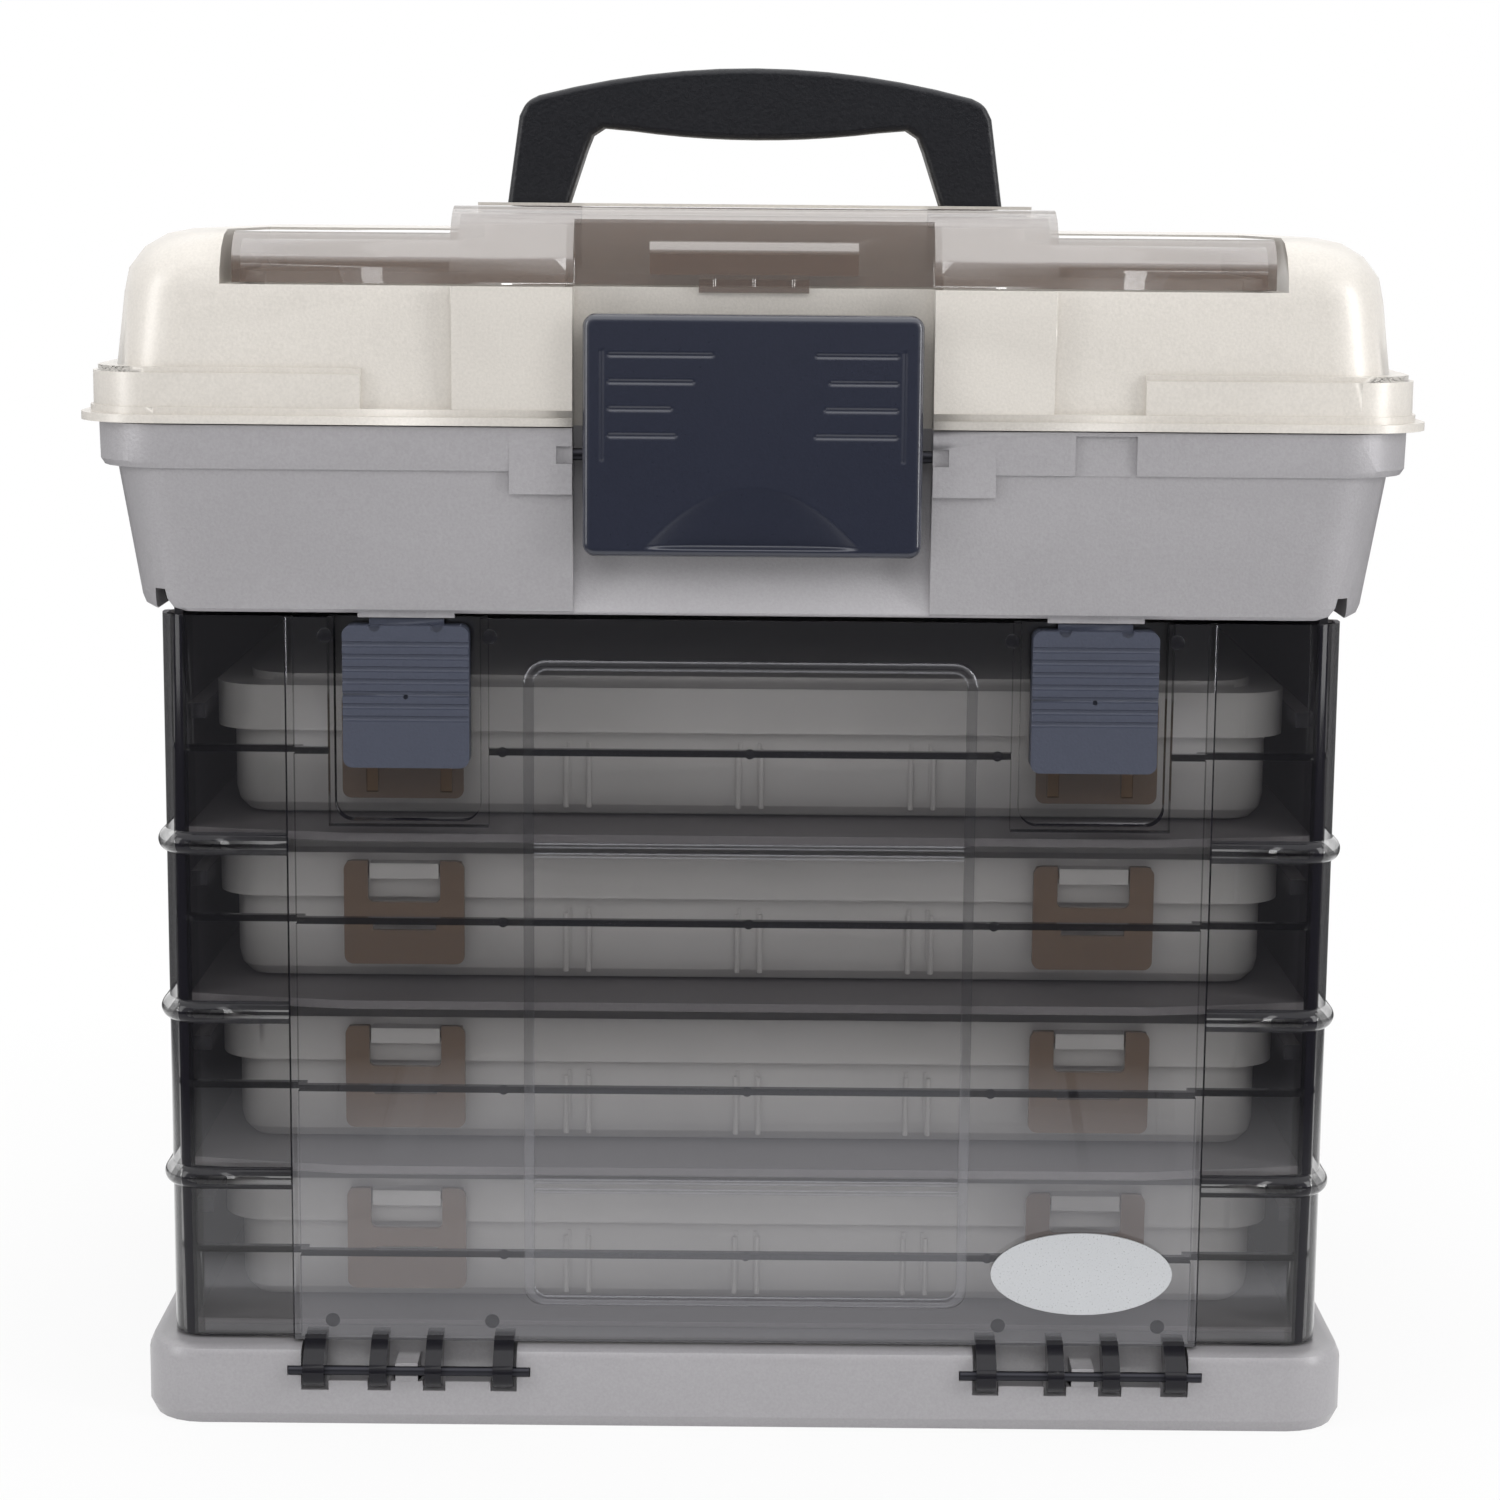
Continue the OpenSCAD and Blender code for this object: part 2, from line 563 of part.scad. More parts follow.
// Storage lid: rim band, shoulders, rounded body, raised centre, cover well and handle well
module lid() {
  edge = 2.6;          // thickness of the rim's thin outer edge
  shoulder_z1 = band_z + shoulder_h;
  shoulder_hx = rim_hx - 4;
  shoulder_hy = rim_hy - 3;
  r = lid_round;
  z1 = lid_z1;
  in = lid_wall;
  block_hx = cover_eye_x - play;
  color("#d3cdc0") difference() {
    union() {
      translate([0, 0, rim_z + play]) linear_extrude(edge) rounded(rim_hx, rim_hy, 26);
      translate([0, 0, rim_z + edge]) linear_extrude(rim_h - edge)
        rounded(rim_hx - 3, rim_hy - 2, 24);
      difference() {
        union() {
          translate([0, 0, band_z - sink]) linear_extrude(shoulder_h - 1.6)
            rounded(shoulder_hx, shoulder_hy, 23);
          translate([0, 0, shoulder_z1 - 2]) linear_extrude(2)
            rounded(shoulder_hx - 1.6, shoulder_hy - 1.6, 21.4);
        }
        bar([-shoulder_gap, -rim_hy, band_z - over], [shoulder_gap, rim_hy, shoulder_z1 + over]);
      }
      loft([[band_z - sink, body_hx, body_hy, tub_r],
        [z1 - r, body_hx - 4, body_hy - 2, tub_r],
        [z1 - r * 0.62, body_hx - 5.4, body_hy - 3.4, tub_r],
        [z1 - r * 0.29, body_hx - 4 - r * 0.29, body_hy - 2 - r * 0.29, tub_r],
        [z1 - r * 0.08, body_hx - 4 - r * 0.62, body_hy - 2 - r * 0.62, tub_r - 2],
        [z1, body_hx - 4 - r, body_hy - 2 - r, tub_r - 6]]);
      side_slab(-centre_hx, centre_hx) centre_profile(0);
      for (s = [-1, 1]) mirror([s > 0 ? 0 : 1, 0, 0])
        bar([recess_hx, -body_hy - pilaster_out, band_z - sink],
          [centre_hx - 1, -body_hy + 4, ledge_z]);
      for (s = [-1, 1], t = [-1, 1]) lid_knuckle(s * lid_hinge_x + t * lid_knuckle_x);
    }
    // hollow inside
    difference() {
      union() {
        translate([0, 0, rim_z]) linear_extrude(rim_h) rounded(body_hx - in, body_hy - in, tub_r);
        loft([[rim_z + rim_h - over, body_hx - in, body_hy - in, tub_r - in],
          [z1 - r, body_hx - 4 - in, body_hy - 2 - in, tub_r - in],
          [z1 - r * 0.29 - in * 0.8, body_hx - 4 - r * 0.29 - in, body_hy - 2 - r * 0.29 - in,
            tub_r - in],
          [z1 - in, body_hx - 4 - r - in * 0.4, body_hy - 2 - r - in * 0.4, tub_r - 6 - in]]);
        side_slab(-centre_hx + in, centre_hx - in) centre_profile(in);
      }
      side_slab(-recess_hx - in, recess_hx + in) translate([-rim_hy - over, rim_z - over])
        square([rim_hy + over + recess_y + in, lid_h + centre_up]);
      bar([-cover_bay_hx - in, -rim_hy, ledge_z - in],
        [cover_bay_hx + in, cover_y1 + in + 3, centre_z1 + over]);
      translate([0, 0, well_z - in]) linear_extrude(lid_h) well_plan(-in);
      bar([-handle_well_hx - in, handle_well_y0 - in, handle_well_z - in],
        [handle_well_hx + in, handle_well_y1 + in, centre_z1 + over]);
    }
    // bay of the cover, above a ledge with an upstand round the well
    difference() {
      bar([-cover_bay_hx, -rim_hy - over, ledge_z], [cover_bay_hx, cover_y1 + 3, centre_z1 + over]);
      // block between the cover's hinge eyes, round in front, with the bore of its pin
      difference() {
        union() {
          bar([-block_hx, cover_axis_y - cover_eye_r, ledge_z - over],
            [block_hx, cover_y1 + 4, cover_axis_z]);
          bar([-block_hx, cover_axis_y, cover_axis_z - sink],
            [block_hx, cover_y1 + 4, cover_axis_z + cover_eye_r]);
          rod_x(-block_hx, block_hx, cover_axis_y, cover_axis_z, cover_eye_r);
        }
        rod_x(-cover_eye_x, cover_eye_x, cover_axis_y, cover_axis_z, cover_pin_r + fit);
      }
      translate([0, 0, ledge_z - over]) linear_extrude(over + 4) difference() {
        well_plan(-well_lip);
        well_plan(0.1);
      }
    }
    translate([0, 0, well_z]) linear_extrude(lid_h) well_plan(0);
    // recess of the main latch
    side_slab(-recess_hx, recess_hx) translate([-rim_hy - over, rim_z - over])
      square([rim_hy + over + recess_y, lid_h + centre_up]);
    // well of the handle, open to the top
    difference() {
      bar([-handle_well_hx, handle_well_y0, handle_well_z],
        [handle_well_hx, handle_well_y1, centre_z1 + over]);
      for (s = [-1, 1]) mirror([s > 0 ? 0 : 1, 0, 0])
        bar([handle_hx - handle_leg - play - lug_t, -7, handle_well_z - over],
          [handle_hx - handle_leg - play, 7, handle_z + 6]);
    }
    rod_x(-handle_well_hx - 6, handle_well_hx + 6, 0, handle_z, handle_pin_r + fit);
    // room for the tub's knuckles, and the bores of the hinge pins
    for (s = [-1, 1]) {
      rod_x(s * lid_hinge_x - knuckle_w / 2 - play / 2, s * lid_hinge_x + knuckle_w / 2 + play / 2,
        rim_hy, rim_z, knuckle_r + play);
      rod_x(s * lid_hinge_x - 40, s * lid_hinge_x + 40, rim_hy, rim_z, lid_pin_r + fit);
    }
  }
}

// Knuckle of the lid, on a web from the rim
module lid_knuckle(x) {
  rod_x(x - lid_knuckle_w / 2, x + lid_knuckle_w / 2, rim_hy, rim_z, knuckle_r);
  bar([x - lid_knuckle_w / 2, rim_hy - 3, rim_z + play],
    [x + lid_knuckle_w / 2, rim_hy + knuckle_r * 0.6, rim_z + 3]);
}

module cover_hinge_pin() {
  half = cover_eye_x + cover_eye_w;
  color("#8a8a8e") rod_x(-half, half, cover_axis_y, cover_axis_z, cover_pin_r);
}

module handle_pivot_pins() {
  inner = handle_hx - handle_leg - play - lug_t + 1;
  color("#303034") for (s = [-1, 1]) rod_x(s > 0 ? inner : -handle_well_hx - 5.5,
    s > 0 ? handle_well_hx + 5.5 : -inner, 0, handle_z, handle_pin_r);
}

// Section of the cover along its depth: rounded front and flat top, drawn in by t
module cover_profile(front, top, r, t) {
  z0 = ledge_z + (t > 0 ? -over : 0.5);
  steps = 9;
  polygon(concat([[cover_y1, z0], [front + t, z0]],
    [for (k = [0:steps]) let (a = 90 * k / steps)
      [front + r - (r - t) * cos(a), top - r + (r - t) * sin(a)]], [[cover_y1, top - t]]));
}

// The cover's raised middle, rounded in front nearly down to the ledge
module cover_raised(t) {
  top = centre_z1 - 1;
  cover_profile(cover_y0 - 0.6, top, top - ledge_z - 1.5, t);
}

// Everything inside the cover's outer faces, drawn in by t
module cover_body(t) {
  for (s = [-1, 1]) mirror([s > 0 ? 0 : 1, 0, 0]) {
    side_slab(centre_hx - t - sink, cover_hx - t)
      cover_profile(cover_y0, lid_z1 - 0.5, cover_round, t);
    side_slab(recess_hx + t, centre_hx - t) cover_raised(t);
  }
  // between the pilasters the front is cut back to an upright face
  side_slab(-recess_hx - t - sink, recess_hx + t + sink) intersection() {
    cover_raised(t);
    translate([cover_mid_y + t, 0]) square([body_hy, 2 * centre_z1]);
  }
}

// Clear access cover with its grip bar, snap tab and two hinge eyes
module lid_cover() {
  grip_z0 = ledge_z + 4;
  grip_h = 10.6;
  grip_out = 7;
  tab_hx = 17.5;
  color([0.42, 0.37, 0.33, 0.6]) difference() {
    union() {
      difference() {
        cover_body(0);
        cover_body(cover_t);
        // clear of the block between the hinge eyes
        bar([-cover_eye_x, cover_axis_y - cover_eye_r - play, ledge_z],
          [cover_eye_x, 0, centre_z1 + over]);
      }
      for (s = [-1, 1]) mirror([s > 0 ? 0 : 1, 0, 0])
        rod_x(cover_eye_x, cover_eye_x + cover_eye_w, cover_axis_y, cover_axis_z, cover_eye_r);
      side_slab(-grip_hx, grip_hx) difference() {
        union() {
          translate([cover_mid_y - grip_out, grip_z0]) square([grip_out + sink, grip_h - 4]);
          translate([cover_mid_y - grip_out + 4, grip_z0]) square([grip_out - 4 + sink, grip_h]);
          translate([cover_mid_y - grip_out + 4, grip_z0 + grip_h - 4]) circle(4);
        }
        translate([cover_mid_y - grip_out + cover_t, grip_z0 - over])
          square([grip_out - 2 * cover_t, grip_h - 3]);
      }
      bar([-tab_hx, recess_y - seat - 2, ledge_z - 1.6], [tab_hx, recess_y - seat, grip_z0 + sink]);
      bar([-tab_hx, recess_y - seat - 2, grip_z0 - 1.4], [tab_hx, cover_mid_y + sink, grip_z0 + sink]);
    }
    rod_x(-cover_hx, cover_hx, cover_axis_y, cover_axis_z, cover_pin_r + fit);
  }
}

// Bail handle: tapered legs on pivot pins and a grip that bellies down in the middle
module handle() {
  foot_r = handle_t / 2;
  top_hx = handle_hx - 6.5;
  crown = 11;          // rise of the top edge at the middle
  belly = 4;           // drop of the grip's underside at the middle
  grip_t = handle_h - 36.5;
  top_z = handle_h - crown;
  in_hx = handle_hx - handle_leg;
  under_hx = in_hx - 7.5;
  under_z = handle_h - grip_t;
  lug_clear = foot_r - 1;  // the legs run straight past the lugs up to here
  n = 12;
  color("#26282c") difference() {
    intersection() {
      translate([0, 0, handle_z]) face_slab(-handle_t / 2, handle_t / 2) polygon(concat(
        [[-handle_hx, -foot_r], [-handle_hx, 0], [-top_hx - 1, top_z - 6], [-top_hx + 1.5, top_z - 1]],
        [for (i = [0:n]) let (x = -top_hx + 6 + i * (2 * top_hx - 12) / n)
          [x, top_z + 1.2 + (crown - 1.2) * (1 - pow(x / (top_hx - 6), 2))]],
        [[top_hx - 1.5, top_z - 1], [top_hx + 1, top_z - 6], [handle_hx, 0], [handle_hx, -foot_r],
         [in_hx, -foot_r], [in_hx, lug_clear], [under_hx + 1, under_z - 8], [under_hx - 1, under_z - 3],
         [under_hx - 5, under_z - 0.4]],
        [for (i = [1:n - 1]) let (x = (under_hx - 6) * (1 - 2 * i / n))
          [x, under_z - belly * (1 - pow(x / (under_hx - 6), 2))]],
        [[5 - under_hx, under_z - 0.4], [1 - under_hx, under_z - 3], [-under_hx - 1, under_z - 8],
         [-in_hx, lug_clear], [-in_hx, -foot_r]]));
      side_slab(-handle_hx - over, handle_hx + over) union() {
        translate([0, handle_z]) circle(foot_r);
        translate([-foot_r, handle_z]) square([handle_t, handle_h + over]);
      }
    }
    rod_x(-handle_hx - over, handle_hx + over, 0, handle_z, handle_pin_r + fit);
  }
}

// Main latch: a hollow plate that rocks on its pin, with plain engraved lines and a scoop
module main_latch() {
  shell = 3;
  corner = 4;
  mid_z = latch_z0 + latch_h / 2;
  boss_w = 9;
  scoop_hx = 34.5;
  scoop_h = 21;
  scoop_tilt = 5.5;
  scoop_r = (scoop_hx * scoop_hx + scoop_h * scoop_h) / (2 * scoop_h);
  line_pitch = 8.4;
  line_z = latch_z0 + latch_h - 13;
  lines = [[32, 26, 19, 20.5], [25, 20.5, 22, 25]];  // lengths of the engraved lines
  line_hx = latch_w / 2 - 8.5; // outer ends of the lines
  groove_x = latch_w / 2 - 5.9;
  groove_w = 0.8;
  groove_d = 0.5;
  color("#343a48") difference() {
    union() {
      difference() {
        translate([0, 0, mid_z]) face_slab(latch_y0, pivot_y)
          rounded(latch_w / 2, latch_h / 2, corner);
        translate([0, 0, mid_z]) face_slab(latch_y0 + shell, pivot_y + over)
          rounded(latch_w / 2 - shell, latch_h / 2 - shell, corner - 1);
      }
      for (s = [-1, 1]) mirror([s > 0 ? 0 : 1, 0, 0]) {
        rod_x(latch_w / 2 - boss_w, latch_w / 2, pivot_y, pivot_z, latch_pin_r + 2);
        bar([latch_w / 2 - boss_w, latch_y0 + shell - sink, pivot_z - 2],
          [latch_w / 2 - shell + sink, pivot_y, pivot_z + 2]);
      }
      // hook bead that bears on the lid's catch
      bar([-30, pivot_y - 1.5, latch_z0 + latch_h - 6], [30, recess_y - 4, latch_z0 + latch_h - 3]);
      for (x = [-30:20:30]) bar([x - 1, latch_y0 + shell - sink, latch_z0 + shell],
        [x + 1, pivot_y - 1, latch_z0 + latch_h - shell]);
    }
    rod_x(-latch_w, latch_w, pivot_y, pivot_z, latch_pin_r + fit);
    // thumb scoop, deepest at the lower edge
    translate([0, latch_y0, latch_z0]) rotate([scoop_tilt, 0, 0])
      translate([0, 2.4, scoop_h - scoop_r]) rotate([90, 0, 0]) cylinder(r = scoop_r, h = 20);
    for (s = [-1, 1], i = [0:3])
      bar([s * line_hx - (s > 0 ? lines[1][i] : 0), latch_y0 - over, line_z - i * line_pitch],
        [s * line_hx + (s > 0 ? 0 : lines[0][i]), latch_y0 + groove_d,
          line_z - i * line_pitch + groove_w]);
    for (s = [-1, 1]) bar([s * groove_x - groove_w / 2, latch_y0 - over, pivot_z - 1.5],
      [s * groove_x + groove_w / 2, latch_y0 + groove_d, latch_z0 + latch_h - 11]);
  }
}

// Plan of the door drawn in by t: proud front panel, corner bands and side wings
module door_plan(t) {
  translate([0, band_step / 2]) rounded(cab_hx - t, cab_hy - band_step / 2 - t, door_r - t);
  translate([t - panel_hx, t - cab_hy]) square([2 * (panel_hx - t), cab_hy]);
}

// Rolled bead round one front corner of the door
module corner_bead(s, z) {
  y = -cab_hy + band_step + 1.2;
  turn = 10;
  mirror([s > 0 ? 0 : 1, 0, 0]) translate([0, 0, z]) {
    rod_x(panel_hx - 2, cab_hx - 1.2 - turn, y, 0, bead_r);
    translate([cab_hx - 1.2 - turn, y + turn, 0]) intersection() {
      rotate_extrude() translate([turn, 0]) circle(bead_r);
      translate([0, -2 * turn, -2 * turn]) cube([2 * turn, 2 * turn, 4 * turn]);
    }
    translate([cab_hx - 1.2, y + turn, 0]) rotate([-90, 0, 0])
      cylinder(r = bead_r, h = wing_y - y - turn);
  }
}

// One hinge arm, from the door's lower edge down round the rod
module hinge_arm(i) {
  side_slab(arm_x[i] - arm_w[i] / 2, arm_x[i] + arm_w[i] / 2) {
    translate([axis_y, hinge_z]) circle(arm_r);
    polygon([[axis_y - arm_r, hinge_z], [axis_y - arm_r + 1.5, hinge_z + 4.5],
      [-cab_hy + sink, door_z0 + 2], [-cab_hy + 7, door_z0 + 2], [-cab_hy + 6, door_z0],
      [axis_y + arm_r, hinge_z]]);
  }
}

// Clear door: one moulding with a proud panel, window, latch pockets, beads and hinge arms
module door() {
  pocket_hx = pocket_w / 2;
  pocket_floor_y = -cab_hy + pocket_d;
  window_h = window_z1 - window_z0;
  window_z = (window_z0 + window_z1) / 2;
  color([0.2, 0.2, 0.23, 0.55]) difference() {
    union() {
      difference() {
        union() {
          translate([0, 0, door_z0]) linear_extrude(door_z1 - door_z0) door_plan(0);
          for (s = [-1, 1], i = [1:3])
            corner_bead(s, floor_top + i * pitch - rack_t);
          translate([0, 0, window_z]) face_slab(-cab_hy - window_out, -cab_hy + sink)
            rounded(window_hx, window_h / 2, window_r);
        }
        translate([0, 0, door_z0 - over]) linear_extrude(door_z1 - door_z0 + 2 * over)
          door_plan(door_t);
        translate([0, 0, window_z])
          face_slab(-cab_hy + door_t - window_out, -cab_hy + door_t + over)
          rounded(window_hx - door_t, window_h / 2 - door_t, window_r - door_t);
      }
      // stiffening ribs inside, halfway up each bay
      for (i = [1:box_count]) translate([0, 0, floor_top + (i - 0.5) * pitch - rib_t / 2])
        linear_extrude(rib_t) intersection() {
          difference() {
            door_plan(door_t - sink);
            door_plan(door_t + rib_d);
          }
          translate([-cab_hx, -cab_hy]) square([2 * cab_hx, rack_y0 - 2 + cab_hy]);
        }
      for (s = [-1, 1]) bar([s * door_latch_x - pocket_hx - door_t, -cab_hy + sink,
        pocket_z0 - door_t], [s * door_latch_x + pocket_hx + door_t, pocket_floor_y + door_t,
        door_z1]);
      for (s = [-1, 1]) mirror([s > 0 ? 0 : 1, 0, 0]) for (i = [0:3]) hinge_arm(i);
    }
    bar([-cab_hx - bead_r, wing_y, 0], [cab_hx + bead_r, cab_hy + bead_r, door_z1 + over]);
    // the wings' top falls back so that it passes under the tub
    side_slab(-cab_hx - bead_r, cab_hx + bead_r) polygon([
      for (a = [0:5]) let (y = -cab_hy + 10 + a * (wing_d - 8) / 5, d = y - axis_y)
        [y, hinge_z + sqrt(pow(swing - 0.4, 2) - d * d)],
      [wing_y + over + 2, door_z1 + 9], [-cab_hy + 10, door_z1 + 9]]);
    for (s = [-1, 1]) {
      translate([s * door_latch_x, 0, (pocket_z0 + door_z1) / 2 + pocket_r])
        face_slab(-cab_hy - over, pocket_floor_y)
        rounded(pocket_hx, (door_z1 - pocket_z0) / 2 + pocket_r, pocket_r);
      // slots for the feet of the sliding latch
      for (t = [-1, 1]) bar([s * door_latch_x + t * 12 - 1.9, pocket_floor_y - over,
        door_latch_z1 - door_latch_h + 8 - door_latch_travel - 3.5], [s * door_latch_x + t * 12 + 1.9,
        pocket_floor_y + door_t + over, door_latch_z1 - door_latch_h + 8 + 3.5]);
    }
    rod_x(-cab_hx, cab_hx, axis_y, hinge_z, rod_r + fit);
  }
}

// Plain oval plate on the door
module badge_plate() {
  half_w = 30;
  half_h = 14;
  plate_t = 0.8;
  color("#c9cacd") translate([door_latch_x + 0.5, 0, door_z0 + 25])
    face_slab(-cab_hy - plate_t, -cab_hy)
    polygon([for (a = [0:7.5:359]) [half_w * cos(a), half_h * sin(a)]]);
}

// Sliding latch of the door: grooved grip, tongue under the tub's lip and two feet
module door_latch(side) {
  y0 = -cab_hy - door_latch_out;
  y1 = -cab_hy + pocket_d - seat;
  z1 = door_latch_z1;
  z0 = z1 - door_latch_h;
  groove_pitch = 4;
  color("#4a5160") translate([side * door_latch_x, 0, 0]) difference() {
    union() {
      translate([0, 0, (z0 + z1) / 2]) face_slab(y0, y1)
        rounded(door_latch_w / 2, door_latch_h / 2, 3);
      bar([-12, -cab_hy + 0.6, z1 - 3], [12, -cab_hy + 2.6, door_z1]);
      for (t = [-1, 1]) {
        bar([t * 12 - 1.5, y1 - sink, z0 + 5], [t * 12 + 1.5, y1 + door_t + 2 * seat + sink, z0 + 11]);
        bar([t * 12 - 4, y1 + door_t + 2 * seat, z0 + 5], [t * 12 + 4, y1 + door_t + 2 * seat + 1.6,
          z0 + 11]);
      }
    }
    for (i = [0:6]) translate([0, y0 - 0.2, z1 - 6 - i * groove_pitch])
      rod_x(-door_latch_w, door_latch_w, 0, 0, 1);
    translate([0, y0 - over, z0 + door_latch_h / 2]) rotate([-90, 0, 0]) cylinder(r = 0.8, h = 3);
    for (t = [-1, 1]) translate([t * 10, y0 - over, z1]) rotate([-90, 0, 0])
      cylinder(r = 2, h = 4);
    bar([-door_latch_w / 2 + 3, y0 + 3, z0 + 3], [door_latch_w / 2 - 3, y1 - 1.5, z0 + 4]);
  }
}

// Height of the floor under box i, counted from the top
function bay_z(i) = floor_top + (box_count - i) * pitch + seat;
box_mid_y = (box_y0 + box_y1) / 2;
box_hx = box_w / 2;
tray_hx = box_hx - box_overhang;
tray_hy = box_d / 2 - box_overhang;
box_latch_z1 = box_edge_h - 1.5;          // top of a latch above the tray's foot
box_pivot_z = box_latch_z1 - 3.5;
box_pivot_y = box_y0 - 3.5;
box_latch_y0 = box_y0 - 6.5;              // front face of a latch
box_latch_t = 2.2;
latch_gap = 12;      // half-width of the opening between a latch's arms

// Frosted tray with one fixed wall along it and slots for the dividers
module box_tray(i) {
  wall_top = box_edge_h - box_wall - seat;
  r = tray_round;
  w = box_wall;
  snap_z = box_latch_z1 - box_latch_h + 5;
  color([0.78, 0.78, 0.76, 0.55]) translate([0, box_mid_y, bay_z(i)]) {
    difference() {
      loft([[0, tray_hx - r, tray_hy - r, tray_r - r + 1.2],
        [r * 0.13, tray_hx - r * 0.5, tray_hy - r * 0.5, tray_r - r * 0.5],
        [r * 0.5, tray_hx - r * 0.13, tray_hy - r * 0.13, tray_r - r * 0.13],
        [r, tray_hx, tray_hy, tray_r],
        [wall_top, tray_hx, tray_hy, tray_r]]);
      loft([[w, tray_hx - r - w, tray_hy - r - w, tray_r - r + 1],
        [w + r * 0.4, tray_hx - w - r * 0.25, tray_hy - w - r * 0.25, tray_r - w - r * 0.25],
        [w + r, tray_hx - w, tray_hy - w, tray_r - w],
        [box_h, tray_hx - w, tray_hy - w, tray_r - w]]);
    }
    bar([-tray_hx + w / 2, -w / 2, w - sink], [tray_hx - w / 2, w / 2, wall_top - 2]);
    // pairs of ribs that hold the dividers, on both faces of the front wall
    for (k = [-2:2], t = [-1, 1]) if (abs(k) < 2 || t * k > 0)
      bar([k * divider_pitch + t * 3.2 - 0.6, w - tray_hy - sink, r],
        [k * divider_pitch + t * 3.2 + 0.6, w - tray_hy + 1.6, wall_top - 2]);
    for (k = [-1:1], t = [-1, 1])
      bar([k * divider_pitch + t * 3.2 - 0.6, -tray_hy - 0.7, r],
        [k * divider_pitch + t * 3.2 + 0.6, -tray_hy + sink, wall_top - box_skirt - 2]);
    // ledges that the latches snap under
    for (s = [-1, 1]) bar([s * box_latch_x - 13, -tray_hy - box_overhang - 2.6, snap_z],
      [s * box_latch_x + 13, -tray_hy + sink, snap_z + 2]);
  }
}

// Lid of a box: skirt, flat edge and a crown, with a lug for each latch
module box_lid(i) {
  w = box_wall;
  r = tray_r + box_overhang - 1;
  crown_in = 10;
  color([0.82, 0.82, 0.8, 0.55]) translate([0, box_mid_y, bay_z(i)]) difference() {
    union() {
      translate([0, 0, box_edge_h - box_skirt]) linear_extrude(box_skirt)
        rounded(box_hx, box_d / 2, r);
      translate([0, 0, box_edge_h - w]) linear_extrude(box_crown + w)
        rounded(box_hx - crown_in, box_d / 2 - crown_in, r);
      for (s = [-1, 1]) {
        bar([s * box_latch_x - latch_gap + play, box_pivot_y - box_mid_y - 2.6, box_pivot_z - 2.6],
          [s * box_latch_x + latch_gap - play, w - box_d / 2, box_pivot_z + 2.6]);
        // rear hinge barrels of the lid
        rod_x(s * box_latch_x - 20, s * box_latch_x + 20, box_d / 2, box_edge_h - 3, 2.6);
      }
    }
    translate([0, 0, box_edge_h - box_skirt - over]) linear_extrude(box_skirt + over - w)
      rounded(box_hx - w, box_d / 2 - w, r - w);
    translate([0, 0, box_edge_h - w - over]) linear_extrude(box_crown + over)
      rounded(box_hx - crown_in - w, box_d / 2 - crown_in - w, r - w);
    for (s = [-1, 1]) rod_x(s * box_latch_x - latch_gap, s * box_latch_x + latch_gap,
      box_pivot_y - box_mid_y, box_pivot_z, box_pivot_r + fit);
  }
}

// Loose dividers standing in both rows of a tray
module box_dividers(i) {
  color([0.75, 0.74, 0.7, 0.7]) for (k = [-1, 1], row = [-1, 1]) {
    y0 = row < 0 ? -tray_hy + box_wall + seat : box_wall / 2 + seat;
    y1 = row < 0 ? -box_wall / 2 - seat : tray_hy - box_wall - seat;
    translate([k * divider_pitch - divider_t / 2, box_mid_y, bay_z(i) + box_wall])
      side_slab(0, divider_t) polygon([
        [y0 + (row < 0 ? tray_round : 0), seat], [y1 - (row > 0 ? tray_round : 0), seat],
        [y1, seat + (row > 0 ? tray_round : 0)],
        [y1, box_edge_h - 8], [y0, box_edge_h - 8], [y0, seat + (row < 0 ? tray_round : 0)]]);
  }
}

// Brown latch of a box: two arms on stub pivots, a windowed plate and a snap ridge
module box_latch(i, side) {
  hx = box_latch_w / 2;
  z1 = box_latch_z1;
  z0 = z1 - box_latch_h;
  t = box_latch_t;
  color("#8a7361") translate([side * box_latch_x, 0, bay_z(i)]) difference() {
    union() {
      translate([0, 0, (z0 + z1) / 2]) face_slab(box_latch_y0, box_latch_y0 + t)
        rounded(hx, box_latch_h / 2, 3);
      for (s = [-1, 1]) mirror([s > 0 ? 0 : 1, 0, 0]) {
        rod_x(latch_gap, hx - 1, box_pivot_y, box_pivot_z, 3);
        bar([latch_gap, box_latch_y0 + t - sink, box_pivot_z - 3], [hx - 1, box_pivot_y,
          box_pivot_z + 3]);
        rod_x(latch_gap - 4, latch_gap + sink, box_pivot_y, box_pivot_z, box_pivot_r);
      }
      bar([-12, box_latch_y0 + t - sink, z0 + 2], [12, box_latch_y0 + t + 2.6, z0 + 4.6]);
    }
    translate([0, 0, z1]) face_slab(box_latch_y0 - over, box_latch_y0 + t + over)
      rounded(latch_gap, 14, 2);
    bar([-10.5, box_latch_y0 - over, z0 + 11.5], [10.5, box_latch_y0 + t + over, z0 + 14.5]);
  }
}

